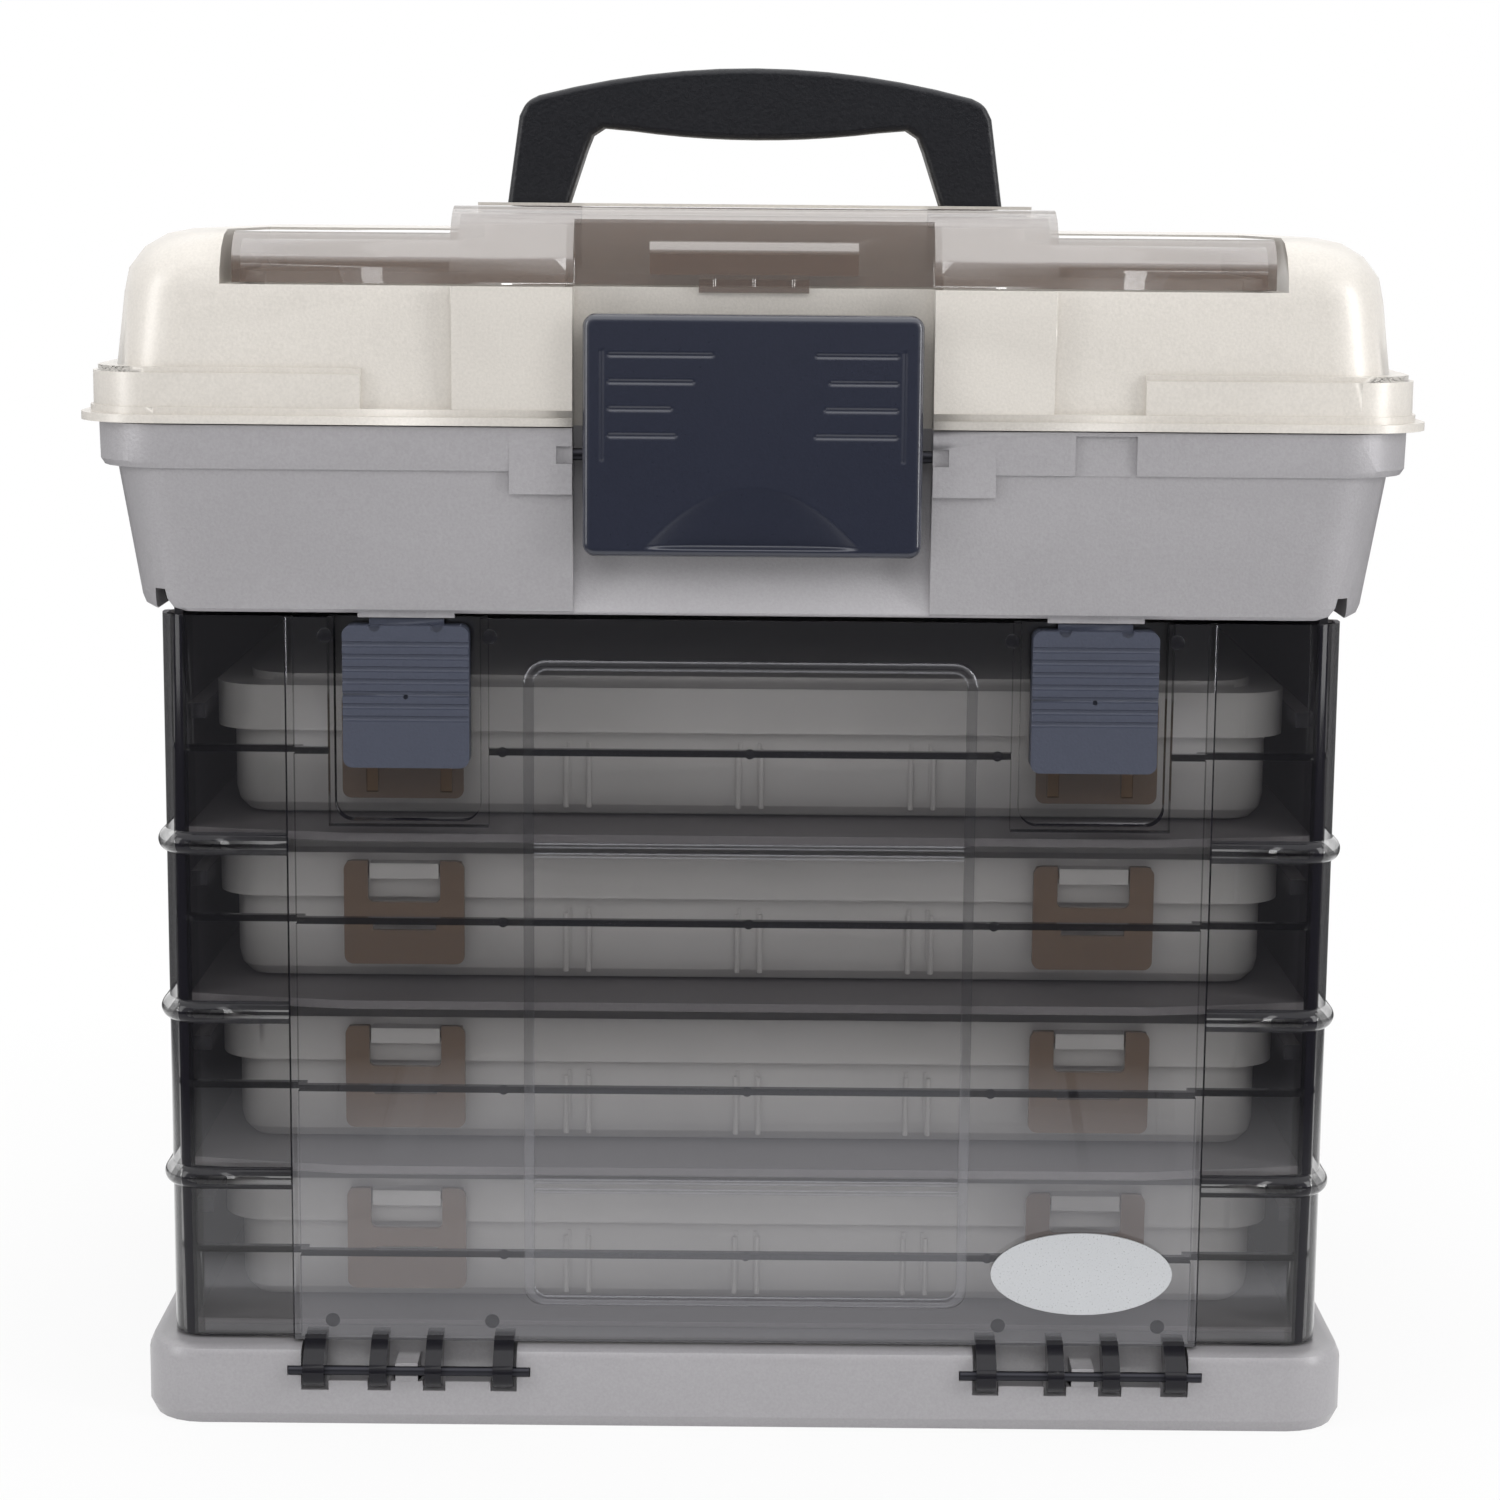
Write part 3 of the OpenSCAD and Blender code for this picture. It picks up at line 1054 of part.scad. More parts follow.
base();
rack_floor();
rack_side(-1);  // rack_side_left
rack_side(1);  // rack_side_right
rack_back();
rack_shelf(1);  // rack_shelf_1
rack_shelf(2);  // rack_shelf_2
rack_shelf(3);  // rack_shelf_3
tub();
door_hinge_rod(-1);  // door_hinge_rod_left
door_hinge_rod(1);  // door_hinge_rod_right
main_latch_pin();
lid_hinge_pins();
lid();
cover_hinge_pin();
handle_pivot_pins();
lid_cover();
handle();
main_latch();
door();
badge_plate();
door_latch(-1);  // door_latch_left
door_latch(1);  // door_latch_right
box_tray(1);  // box_1_tray
box_lid(1);  // box_1_lid
box_dividers(1);  // box_1_dividers
box_latch(1, -1);  // box_1_latch_left
box_latch(1, 1);  // box_1_latch_right
box_tray(2);  // box_2_tray
box_lid(2);  // box_2_lid
box_dividers(2);  // box_2_dividers
box_latch(2, -1);  // box_2_latch_left
box_latch(2, 1);  // box_2_latch_right
box_tray(3);  // box_3_tray
box_lid(3);  // box_3_lid
box_dividers(3);  // box_3_dividers
box_latch(3, -1);  // box_3_latch_left
box_latch(3, 1);  // box_3_latch_right
box_tray(4);  // box_4_tray
box_lid(4);  // box_4_lid
box_dividers(4);  // box_4_dividers
box_latch(4, -1);  // box_4_latch_left
box_latch(4, 1);  // box_4_latch_right
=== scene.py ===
"""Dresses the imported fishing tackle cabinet: finishes, fine detail, stage and camera.

Every size is in metres, in the cabinet's own frame: X to the right, Y to the back, Z up.
"""
import json
import math

import bmesh
import bpy
from mathutils import Matrix, Vector
from mathutils.bvhtree import BVHTree


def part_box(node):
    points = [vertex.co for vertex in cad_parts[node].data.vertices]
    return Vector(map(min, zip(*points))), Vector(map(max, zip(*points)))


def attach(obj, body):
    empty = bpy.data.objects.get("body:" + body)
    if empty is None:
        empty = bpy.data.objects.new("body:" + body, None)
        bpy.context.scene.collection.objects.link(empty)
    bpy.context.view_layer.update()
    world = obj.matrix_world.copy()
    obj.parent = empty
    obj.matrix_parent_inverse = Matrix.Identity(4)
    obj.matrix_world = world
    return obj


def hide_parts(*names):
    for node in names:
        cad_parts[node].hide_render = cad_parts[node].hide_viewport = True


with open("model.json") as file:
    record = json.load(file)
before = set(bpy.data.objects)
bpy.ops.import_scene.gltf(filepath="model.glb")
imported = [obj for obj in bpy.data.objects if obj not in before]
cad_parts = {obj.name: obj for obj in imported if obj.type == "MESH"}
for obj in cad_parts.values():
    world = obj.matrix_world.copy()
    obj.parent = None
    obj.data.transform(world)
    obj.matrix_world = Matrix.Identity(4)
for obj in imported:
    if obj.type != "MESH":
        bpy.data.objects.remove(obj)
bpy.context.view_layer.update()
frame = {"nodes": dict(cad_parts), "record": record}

bl_info = {
    "name": "Fishing tackle cabinet",
    "version": (1, 0, 0),
    "blender": (4, 5, 0),
    "location": "View3D > Sidebar > Cabinet",
    "description": "Dresses the tackle cabinet's pieces and sets up its stage",
    "category": "Object",
}

MM = 0.001
NODES = frame["nodes"]
BODIES = frame["record"]["behaviour"]["bodies"]
BODY_OF = {node: body for body, nodes in BODIES.items() for node in nodes}


def low(node):
    """A node's lowest corner at rest."""
    return Vector(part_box(node)[0])


def high(node):
    """A node's highest corner at rest."""
    return Vector(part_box(node)[1])


BOX_COUNT = 4
HINGE_ARM = 14.2 * MM                # how far the hinge arms reach below the door
DOOR_FOOT = low("door").z + HINGE_ARM
PANEL_Y = high("badge_plate").y      # front of the door's proud panel
BAY = high("rack_shelf_1").z - high("rack_shelf_2").z
BAY_FLOOR = high("rack_floor").z


def linear(hex_colour):
    """An sRGB hex colour as linear RGB."""
    channels = [int(hex_colour[i:i + 2], 16) / 255 for i in (1, 3, 5)]
    return [c / 12.92 if c <= 0.04045 else ((c + 0.055) / 1.055) ** 2.4 for c in channels]


def colour_property(name, hex_colour):
    return bpy.props.FloatVectorProperty(
        name=name, description=f"Colour of {name.lower()}", subtype="COLOR", size=3,
        min=0.0, max=1.0, default=linear(hex_colour))


def length_property(name, millimetres, description):
    return bpy.props.FloatProperty(
        name=name, description=description, default=millimetres * MM, min=0.0,
        subtype="DISTANCE", unit="LENGTH")


class CabinetColours(bpy.types.PropertyGroup):
    """Colours of the cabinet's plastics and metal."""
    base: colour_property("Base", "#9c9a9d")
    rack: colour_property("Rack", "#868284")
    # painted shade: the dark colour of the rack sides' inner and front faces
    rack_side: colour_property("Rack sides", "#3a383e")
    tub: colour_property("Tub", "#a2a0a3")
    lid: colour_property("Lid", "#d0cbc4")
    smoke: colour_property("Door", "#17161c")
    cover: colour_property("Lid cover", "#5e412e")
    box: colour_property("Utility boxes", "#e8e5e3")
    box_latch: colour_property("Box latches", "#826b58")
    main_latch: colour_property("Main latch", "#1c2030")
    door_latch: colour_property("Door latches", "#3c404e")
    handle: colour_property("Handle", "#14151a")
    steel: colour_property("Steel pins", "#35353a")
    badge: colour_property("Badge", "#c4c6c9")


class CabinetSizes(bpy.types.PropertyGroup):
    """Sizes of the cabinet's fine detail."""
    edge: length_property("Edge rounding", 0.7, "Rounding of the moulded edges")
    thin_edge: length_property("Thin edge rounding", 0.35, "Rounding of thin-walled edges")
    grain: length_property("Grain", 0.9, "Spacing of the moulded grain")
    coarse_grain: length_property("Coarse grain", 1.3, "Spacing of the grain on the handle")
    soft_edge: length_property("Soft edge rounding", 1.5, "Rounding of the lid's large edges")
    step_edge: length_property("Step rounding", 1.3, "Rounding of the door panel's step")
    grip_edge: length_property("Grip rounding", 2.2, "Rounding of the handle's edges")
    door_wall: length_property("Door wall", 2.4, "Thickness of the clear door")
    window_hx: length_property("Window half-width", 73, "Half-width of the door's proud window")
    window_margin: length_property("Window margin", 13, "From the window to the door's ends")
    window_out: length_property("Window step", 1.2, "How far the window stands proud")
    window_corner: length_property("Window corner", 6, "Corner radius of the window")
    rim_width: length_property("Window rim", 3.4, "Width of the rolled rim of the window")
    latch_round: length_property("Latch edge", 2.4, "Rolled edge of the main latch")
    latch_corner: length_property("Latch corner", 4, "Corner radius of the main latch")
    mark: length_property("Pin mark", 2.4, "Radius of the round moulding marks in the door")


def colours():
    return bpy.context.scene.cabinet_colours


def sizes():
    return bpy.context.scene.cabinet_sizes


# ---------------------------------------------------------------- materials


def add(tree, kind, inputs=None, **settings):
    """Adds a node to a tree with its settings; an input is a value or a socket to link."""
    made = tree.nodes.new(kind)
    for key, value in settings.items():
        setattr(made, key, value)
    for key, value in (inputs or {}).items():
        if isinstance(value, bpy.types.NodeSocket):
            tree.links.new(value, made.inputs[key])
        else:
            made.inputs[key].default_value = value
    return made


def blank_material(name):
    made = bpy.data.materials.new(name)
    made.use_nodes = True
    made.node_tree.nodes.clear()
    return made, made.node_tree


def finish_material(made, tree, shader):
    add(tree, "ShaderNodeOutputMaterial", {"Surface": shader.outputs["BSDF"]})
    return made


def grained(name, colour, spacing, depth, roughness, streak=0.04, metallic=0.0, coat=0.0,
            coat_roughness=0.2, shine=0.5):
    """Moulded plastic with a spark-eroded grain of the given spacing, and faint flow streaks."""
    made, tree = blank_material(name)
    place = add(tree, "ShaderNodeTexCoord").outputs["Object"]
    grain = add(tree, "ShaderNodeTexNoise", {"Vector": place, "Scale": 1 / spacing,
                                             "Detail": 2.0, "Roughness": 0.6})
    flow_place = add(tree, "ShaderNodeMapping", {"Vector": place, "Scale": (9.0, 9.0, 22.0),
                                                 "Rotation": (0.2, 0.5, 0.3)})
    flow = add(tree, "ShaderNodeTexNoise", {"Vector": flow_place.outputs["Vector"], "Scale": 1.0,
                                            "Detail": 3.0, "Distortion": 1.2})
    value = add(tree, "ShaderNodeMapRange", {"Value": flow.outputs["Fac"], "From Min": 0.3,
                                             "From Max": 0.7, "To Min": 1 - streak,
                                             "To Max": 1 + streak})
    speck = add(tree, "ShaderNodeMapRange", {"Value": grain.outputs["Fac"], "From Min": 0.3,
                                             "From Max": 0.7, "To Min": 0.95, "To Max": 1.05})
    both = add(tree, "ShaderNodeMath", {0: value.outputs["Result"], 1: speck.outputs["Result"]},
               operation="MULTIPLY")
    tinted = add(tree, "ShaderNodeVectorMath", {0: (*colour,), "Scale": both.outputs["Value"]},
                 operation="SCALE")
    sheen = add(tree, "ShaderNodeMapRange", {"Value": grain.outputs["Fac"], "From Min": 0.2,
                                             "From Max": 0.8, "To Min": roughness - 0.06,
                                             "To Max": roughness + 0.08})
    bump = add(tree, "ShaderNodeBump", {"Height": grain.outputs["Fac"], "Distance": depth,
                                        "Strength": 0.6})
    shader = add(tree, "ShaderNodeBsdfPrincipled", {
        "Base Color": tinted.outputs["Vector"], "Roughness": sheen.outputs["Result"],
        "Metallic": metallic, "Coat Weight": coat, "Coat Roughness": coat_roughness,
        "Specular IOR Level": shine, "Normal": bump.outputs["Normal"]})
    return finish_material(made, tree, shader)


def clear(name, colour, alpha, edge_alpha, roughness, wave=0.0, coat=1.0, mist=0.0, ior=1.57,
          thicken=(0.5, 0.97), tint=(1.0, 1.0, 1.0)):
    """Clear moulded plastic: it shows more of its own colour where it is seen edge-on.

    A low alpha thins out the gloss too, so clear finishes get a higher ior to make up for it.
    """
    made, tree = blank_material(name)
    place = add(tree, "ShaderNodeTexCoord").outputs["Object"]
    facing = add(tree, "ShaderNodeLayerWeight", {"Blend": 0.3})
    grazing = add(tree, "ShaderNodeMapRange", {"Value": facing.outputs["Facing"],
                                               "From Min": thicken[0],
                                               "From Max": thicken[1]},
                  interpolation_type="SMOOTHSTEP")
    flow = add(tree, "ShaderNodeTexNoise", {"Vector": place, "Scale": 14.0, "Detail": 2.0})
    cloud = add(tree, "ShaderNodeMapRange", {"Value": flow.outputs["Fac"], "From Min": 0.35,
                                             "From Max": 0.65, "To Min": alpha - mist,
                                             "To Max": alpha + mist})
    dense = add(tree, "ShaderNodeMix", {"Factor": grazing.outputs["Result"],
                                        "A": cloud.outputs["Result"], "B": edge_alpha})
    bump = add(tree, "ShaderNodeBump", {"Height": flow.outputs["Fac"], "Distance": 0.002,
                                        "Strength": wave})
    shader = add(tree, "ShaderNodeBsdfPrincipled", {
        "Base Color": (*colour, 1.0), "Roughness": roughness, "Alpha": dense.outputs["Result"],
        "IOR": ior, "Specular Tint": (*tint, 1.0), "Coat Weight": coat, "Coat IOR": ior,
        "Coat Roughness": 0.03, "Normal": bump.outputs["Normal"]})
    return finish_material(made, tree, shader)


def drawn_steel(name, colour):
    """Drawn steel rod: fine scratches along its length and a soft metal gloss."""
    made, tree = blank_material(name)
    place = add(tree, "ShaderNodeTexCoord").outputs["Object"]
    along = add(tree, "ShaderNodeMapping", {"Vector": place, "Scale": (40.0, 1500.0, 1500.0)})
    lines = add(tree, "ShaderNodeTexNoise", {"Vector": along.outputs["Vector"], "Scale": 1.0})
    rough = add(tree, "ShaderNodeMapRange", {"Value": lines.outputs["Fac"], "To Min": 0.25,
                                             "To Max": 0.5})
    shader = add(tree, "ShaderNodeBsdfPrincipled", {
        "Base Color": (*colour, 1.0), "Metallic": 1.0, "Roughness": rough.outputs["Result"]})
    return finish_material(made, tree, shader)


MATERIALS = {}


def make_materials():
    c = colours()
    s = sizes()
    # polypropylene, injection moulded and satin: a soft gloss over a very fine grain
    MATERIALS["base"] = grained("moulded_polypropylene_warm_grey", c.base, s.grain, 0.00006, 0.36,
                                streak=0.03, coat=0.15)
    # polypropylene, injection moulded and left matt: dull and even behind the clear door
    MATERIALS["rack"] = grained("moulded_polypropylene_beige_grey", c.rack, s.grain, 0.00008, 0.5)
    # the same, darker: painted shade on the sides' inner and front faces beside the boxes,
    # where shade falls behind the smoke-coloured door
    MATERIALS["rack_side"] = grained("moulded_polypropylene_painted_shade", c.rack_side, s.grain,
                                     0.00008, 0.5)
    # polypropylene with metal flake, spark-eroded: a grey that sparkles slightly
    MATERIALS["tub"] = grained("moulded_polypropylene_flake_grey", c.tub, s.grain, 0.00016, 0.42,
                               streak=0.03, metallic=0.25)
    # pearl polypropylene: a light champagne with faint flow streaks and a soft pearl gloss
    MATERIALS["lid"] = grained("moulded_polypropylene_pearl", c.lid, s.grain, 0.0001, 0.36,
                               streak=0.05, metallic=0.12, coat=0.2)
    # styrene acrylonitrile, clear and dyed smoke: polished, darker where the view grazes it
    MATERIALS["smoke"] = clear("moulded_clear_smoke", c.smoke, 0.2, 0.93, 0.04, wave=0.04,
                               ior=2.7, thicken=(0.12, 0.7), tint=(0.86, 0.86, 1.0))
    # the same where light goes the long way through it: ribs, steps and hinge arms look black
    MATERIALS["smoke_thick"] = clear("moulded_clear_smoke_thick", c.smoke, 0.95, 0.99, 0.08,
                                     coat=0.0, ior=1.35)
    # the same on the door's rounded corner bands, darker and with a weaker mirror image: painted
    # shade
    MATERIALS["smoke_corner"] = clear("moulded_clear_smoke_painted_shade", c.smoke, 0.26, 0.93, 0.04,
                                      ior=1.8, thicken=(0.12, 0.7))
    # styrene acrylonitrile, clear and dyed brown: it tints what lies under it and mirrors the
    # lamps in its rounded front
    MATERIALS["cover"] = clear("moulded_clear_brown", c.cover, 0.44, 0.95, 0.04, wave=0.04,
                               ior=2.6)
    # clear polypropylene, injection moulded: frosted, slightly cloudy, bright at its edges
    MATERIALS["box"] = clear("moulded_frosted_polypropylene", c.box, 0.7, 0.95, 0.3, coat=0.3,
                             mist=0.05)
    # brown polypropylene, injection moulded: nearly opaque, with a soft gloss
    MATERIALS["box_latch"] = clear("moulded_brown_polypropylene", c.box_latch, 0.86, 0.98, 0.3,
                                   coat=0.3)
    # acrylonitrile butadiene styrene, spark-eroded: navy with a fine grain under a clear gloss,
    # and on the door latches coarser and matt
    MATERIALS["main_latch"] = grained("moulded_abs_navy", c.main_latch, s.grain, 0.0001, 0.32,
                                      streak=0.02, coat=0.9, coat_roughness=0.13, shine=0.35)
    MATERIALS["door_latch"] = grained("moulded_abs_slate", c.door_latch, s.grain, 0.00018, 0.45,
                                      streak=0.02)
    # nylon, moulded with a coarse grip grain that scatters its highlights
    MATERIALS["handle"] = grained("moulded_nylon_black", c.handle, s.coarse_grain, 0.0003, 0.4,
                                  streak=0.02, shine=0.35)
    # steel rod, drawn: dark, with highlights stretched along it
    MATERIALS["steel"] = drawn_steel("drawn_steel", c.steel)
    # aluminium foil label, printed silver: a light and even metallic sheen
    MATERIALS["badge"] = grained("printed_foil_silver", c.badge, 0.0006, 0.00001, 0.3, streak=0.02,
                                 metallic=0.6, coat=0.5)


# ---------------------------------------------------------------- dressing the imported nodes


def merged_copy(node, name):
    """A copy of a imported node's mesh, with its doubles merged and its flat faces made whole."""
    mesh = NODES[node].data.copy()
    mesh.name = name
    mesh.materials.clear()
    work = bmesh.new()
    work.from_mesh(mesh)
    bmesh.ops.remove_doubles(work, verts=work.verts, dist=0.002 * MM)
    bmesh.ops.dissolve_limit(work, angle_limit=math.radians(0.6), verts=work.verts,
                             edges=work.edges, delimit=set())
    work.to_mesh(mesh)
    work.free()
    return mesh


def round_edges(mesh, width, shortest=4.0, least_angle=24.0, segments=3, where=None,
                held=True):
    """Bevels a mesh's sharp outer edges that are long enough to take the width.

    where picks the edges by their ends, and held keeps the width inside what neighbours leave.
    """
    work = bmesh.new()
    work.from_mesh(mesh)
    chosen = []
    for edge in work.edges:
        if len(edge.link_faces) != 2 or edge.calc_length() < shortest * width:
            continue
        if where and not all(where(corner.co) for corner in edge.verts):
            continue
        if edge.calc_face_angle_signed(0.0) > math.radians(least_angle):
            chosen.append(edge)
    if chosen:
        bmesh.ops.bevel(work, geom=chosen, offset=width, offset_type="OFFSET",
                        segments=segments, profile=0.5, affect="EDGES", clamp_overlap=held)
    work.to_mesh(mesh)
    work.free()


def settle(piece):
    """Bakes a piece's modifiers into its mesh."""
    graph = bpy.context.evaluated_depsgraph_get()
    mesh = bpy.data.meshes.new_from_object(piece.evaluated_get(graph))
    piece.modifiers.clear()
    piece.data = mesh
    mesh.name = piece.name


def shade(piece, sharp_angle=42.0):
    """Smooth shading that keeps sharp edges and leaves the large flat faces flat."""
    for face in piece.data.polygons:
        face.use_smooth = True
    piece.data.set_sharp_from_angle(angle=math.radians(sharp_angle))
    weighted = piece.modifiers.new("weighted", "WEIGHTED_NORMAL")
    weighted.mode = "FACE_AREA"
    weighted.keep_sharp = True
    settle(piece)


def show(mesh, name, material, body, replaces=()):
    """Puts a finished mesh in the scene, riding on its body."""
    mesh.materials.clear()
    mesh.materials.append(MATERIALS[material])
    piece = bpy.data.objects.new(name, mesh)
    bpy.context.scene.collection.objects.link(piece)
    shade(piece)
    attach(piece, body)
    if replaces:
        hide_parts(*replaces)
    return piece


def dress(node, material, width=0.0, soft=None, **bevel):
    """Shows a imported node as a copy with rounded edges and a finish.

    soft holds the settings of a wider rounding, which comes first and is left alone after it.
    """
    mesh = merged_copy(node, f"{node}_finished")
    if soft:
        round_edges(mesh, **soft)
        bevel["least_angle"] = 36.0
    if width:
        round_edges(mesh, width, **bevel)
    return show(mesh, f"{node}_finished", material, BODY_OF[node], [node])


# ---------------------------------------------------------------- repeated detail


def new_tree(name, inputs):
    """An empty geometry tree with named inputs, and its input and output nodes."""
    tree = bpy.data.node_groups.new(name, "GeometryNodeTree")
    for label, kind in inputs.items():
        tree.interface.new_socket(label, in_out="INPUT", socket_type=f"NodeSocket{kind}")
    tree.interface.new_socket("Material", in_out="INPUT", socket_type="NodeSocketMaterial")
    tree.interface.new_socket("Geometry", in_out="OUTPUT", socket_type="NodeSocketGeometry")
    return tree, add(tree, "NodeGroupInput").outputs


def end_tree(tree, geometry, given, turn=(0.0, 0.0, 0.0)):
    """Puts a tree's result in its place and ends it with plain, finished geometry."""
    placed = add(tree, "GeometryNodeTransform", {"Geometry": geometry, "Rotation": turn,
                                                 "Translation": given["Place"]})
    real = add(tree, "GeometryNodeRealizeInstances", {"Geometry": placed.outputs["Geometry"]})
    done = add(tree, "GeometryNodeSetMaterial", {"Geometry": real.outputs["Geometry"],
                                                 "Material": given["Material"]})
    add(tree, "NodeGroupOutput", {"Geometry": done.outputs["Geometry"]})
    return tree


def flat_profile(tree, given, steps):
    """An oval profile, Width across and twice Proud thick."""
    ring = add(tree, "GeometryNodeCurvePrimitiveCircle", {"Resolution": steps, "Radius": 0.5})
    twice = add(tree, "ShaderNodeMath", {0: given["Proud"], 1: 2.0}, operation="MULTIPLY")
    size = add(tree, "ShaderNodeCombineXYZ", {"X": given["Width"], "Y": twice.outputs["Value"],
                                              "Z": 1.0})
    return add(tree, "GeometryNodeTransform", {"Geometry": ring.outputs["Curve"],
                                               "Scale": size.outputs["Vector"]}).outputs["Geometry"]


def frame_tree():
    """A strip rolled along a rounded rectangle that stands upright."""
    tree, given = new_tree("rolled_frame", {"Width": "Float", "Height": "Float",
                                            "Corner": "Float", "Strip": "Float",
                                            "Proud": "Float", "Place": "Vector"})
    path = add(tree, "GeometryNodeCurvePrimitiveQuadrilateral", {"Width": given["Width"],
                                                                 "Height": given["Height"]})
    bent = add(tree, "GeometryNodeFilletCurve", {"Curve": path.outputs["Curve"], "Count": 8,
                                                 "Radius": given["Corner"]}, mode="POLY")
    ring = flat_profile(tree, {"Width": given["Strip"], "Proud": given["Proud"]}, 14)
    strip = add(tree, "GeometryNodeCurveToMesh", {"Curve": bent.outputs["Curve"],
                                                  "Profile Curve": ring})
    return end_tree(tree, strip.outputs["Mesh"], given, (math.pi / 2, 0.0, 0.0))


def bar_tree():
    """A row of half-round bars, upright unless they are turned."""
    tree, given = new_tree("bar_row", {"Count": "Int", "Step": "Vector", "Turn": "Vector",
                                       "Length": "Float", "Width": "Float", "Proud": "Float",
                                       "Place": "Vector"})
    half = add(tree, "ShaderNodeMath", {0: given["Length"], 1: 0.5}, operation="MULTIPLY")
    low_end = add(tree, "ShaderNodeMath", {0: given["Length"], 1: -0.5}, operation="MULTIPLY")
    start = add(tree, "ShaderNodeCombineXYZ", {"Z": low_end.outputs["Value"]})
    end = add(tree, "ShaderNodeCombineXYZ", {"Z": half.outputs["Value"]})
    path = add(tree, "GeometryNodeCurvePrimitiveLine", {"Start": start.outputs["Vector"],
                                                        "End": end.outputs["Vector"]})
    bar = add(tree, "GeometryNodeCurveToMesh", {"Curve": path.outputs["Curve"],
                                                "Profile Curve": flat_profile(tree, given, 12),
                                                "Fill Caps": True})
    less = add(tree, "ShaderNodeMath", {0: given["Count"], 1: 1.0}, operation="SUBTRACT")
    back = add(tree, "ShaderNodeMath", {0: less.outputs["Value"], 1: -0.5}, operation="MULTIPLY")
    first = add(tree, "ShaderNodeVectorMath", {0: given["Step"], "Scale": back.outputs["Value"]},
                operation="SCALE")
    row = add(tree, "GeometryNodeMeshLine", {"Count": given["Count"], "Offset": given["Step"],
                                             "Start Location": first.outputs["Vector"]},
              mode="OFFSET")
    bars = add(tree, "GeometryNodeInstanceOnPoints", {"Points": row.outputs["Mesh"],
                                                      "Instance": bar.outputs["Mesh"],
                                                      "Rotation": given["Turn"]})
    return end_tree(tree, bars.outputs["Instances"], given)


def stud_tree():
    """An upright grid of low round studs; Across and Up are the sizes of the whole grid."""
    tree, given = new_tree("stud_grid", {"Columns": "Int", "Rows": "Int", "Across": "Float",
                                         "Up": "Float", "Radius": "Float", "Proud": "Float",
                                         "Place": "Vector"})
    points = add(tree, "GeometryNodeMeshGrid", {"Size X": given["Across"], "Size Y": given["Up"],
                                                "Vertices X": given["Columns"],
                                                "Vertices Y": given["Rows"]})
    ball = add(tree, "GeometryNodeMeshUVSphere", {"Segments": 18, "Rings": 8, "Radius": 1.0})
    size = add(tree, "ShaderNodeCombineXYZ", {"X": given["Radius"], "Y": given["Radius"],
                                              "Z": given["Proud"]})
    studs = add(tree, "GeometryNodeInstanceOnPoints", {"Points": points.outputs["Mesh"],
                                                       "Instance": ball.outputs["Mesh"],
                                                       "Scale": size.outputs["Vector"]})
    return end_tree(tree, studs.outputs["Instances"], given, (math.pi / 2, 0.0, 0.0))


def run_tree(tree, values, name, material, body):
    """Runs a geometry tree once and shows its result as a plain mesh that rides on a body."""
    maker = bpy.data.objects.new(name, bpy.data.meshes.new(name))
    bpy.context.scene.collection.objects.link(maker)
    nodes = maker.modifiers.new("nodes", "NODES")
    nodes.node_group = tree
    values["Material"] = MATERIALS[material]
    for socket in tree.interface.items_tree:
        if socket.in_out == "INPUT":
            nodes[socket.identifier] = values[socket.name]
    settle(maker)
    mesh = maker.data
    bpy.data.objects.remove(maker)
    if not mesh.polygons:
        raise RuntimeError(f"{name} came out empty")
    return show(mesh, name, material, body)


def front_of(node, x, z):
    """Where a line from the front at x and z first meets a node."""
    mesh = NODES[node].data
    solid = BVHTree.FromPolygons([corner.co for corner in mesh.vertices],
                                 [face.vertices[:] for face in mesh.polygons])
    place = solid.ray_cast(Vector((x, -1.0, z)), Vector((0.0, 1.0, 0.0)))[0]
    if place is None:
        raise RuntimeError(f"nothing of {node} at {x}, {z}")
    return place.y


class CabinetBase(bpy.types.Operator):
    """Dress the base and its hinge rods"""
    bl_idname = "cabinet.base"
    bl_label = "Base"

    def execute(self, context):
        dress("base", "base", sizes().edge)
        for side in ("left", "right"):
            dress(f"door_hinge_rod_{side}", "steel")
        return {"FINISHED"}


class CabinetRack(bpy.types.Operator):
    """Dress the rack's panels and shelves"""
    bl_idname = "cabinet.rack"
    bl_label = "Rack"

    def execute(self, context):
        for node in ("rack_floor", "rack_back", "rack_shelf_1", "rack_shelf_2", "rack_shelf_3"):
            dress(node, "rack", sizes().thin_edge)
        for side, inward in (("left", 1.0), ("right", -1.0)):
            panel = dress(f"rack_side_{side}", "rack", sizes().thin_edge)
            # painted shade: the faces that look inward or to the front take the dark rack_side
            # finish
            panel.data.materials.append(MATERIALS["rack_side"])
            for face in panel.data.polygons:
                face.material_index = int(face.normal.x * inward > 0.3 or face.normal.y < -0.7)
        return {"FINISHED"}


class CabinetTub(bpy.types.Operator):
    """Dress the tub and the pins it carries"""
    bl_idname = "cabinet.tub"
    bl_label = "Tub"

    def execute(self, context):
        dress("tub", "tub", sizes().edge)
        dress("main_latch_pin", "steel")
        dress("lid_hinge_pins", "steel")
        return {"FINISHED"}


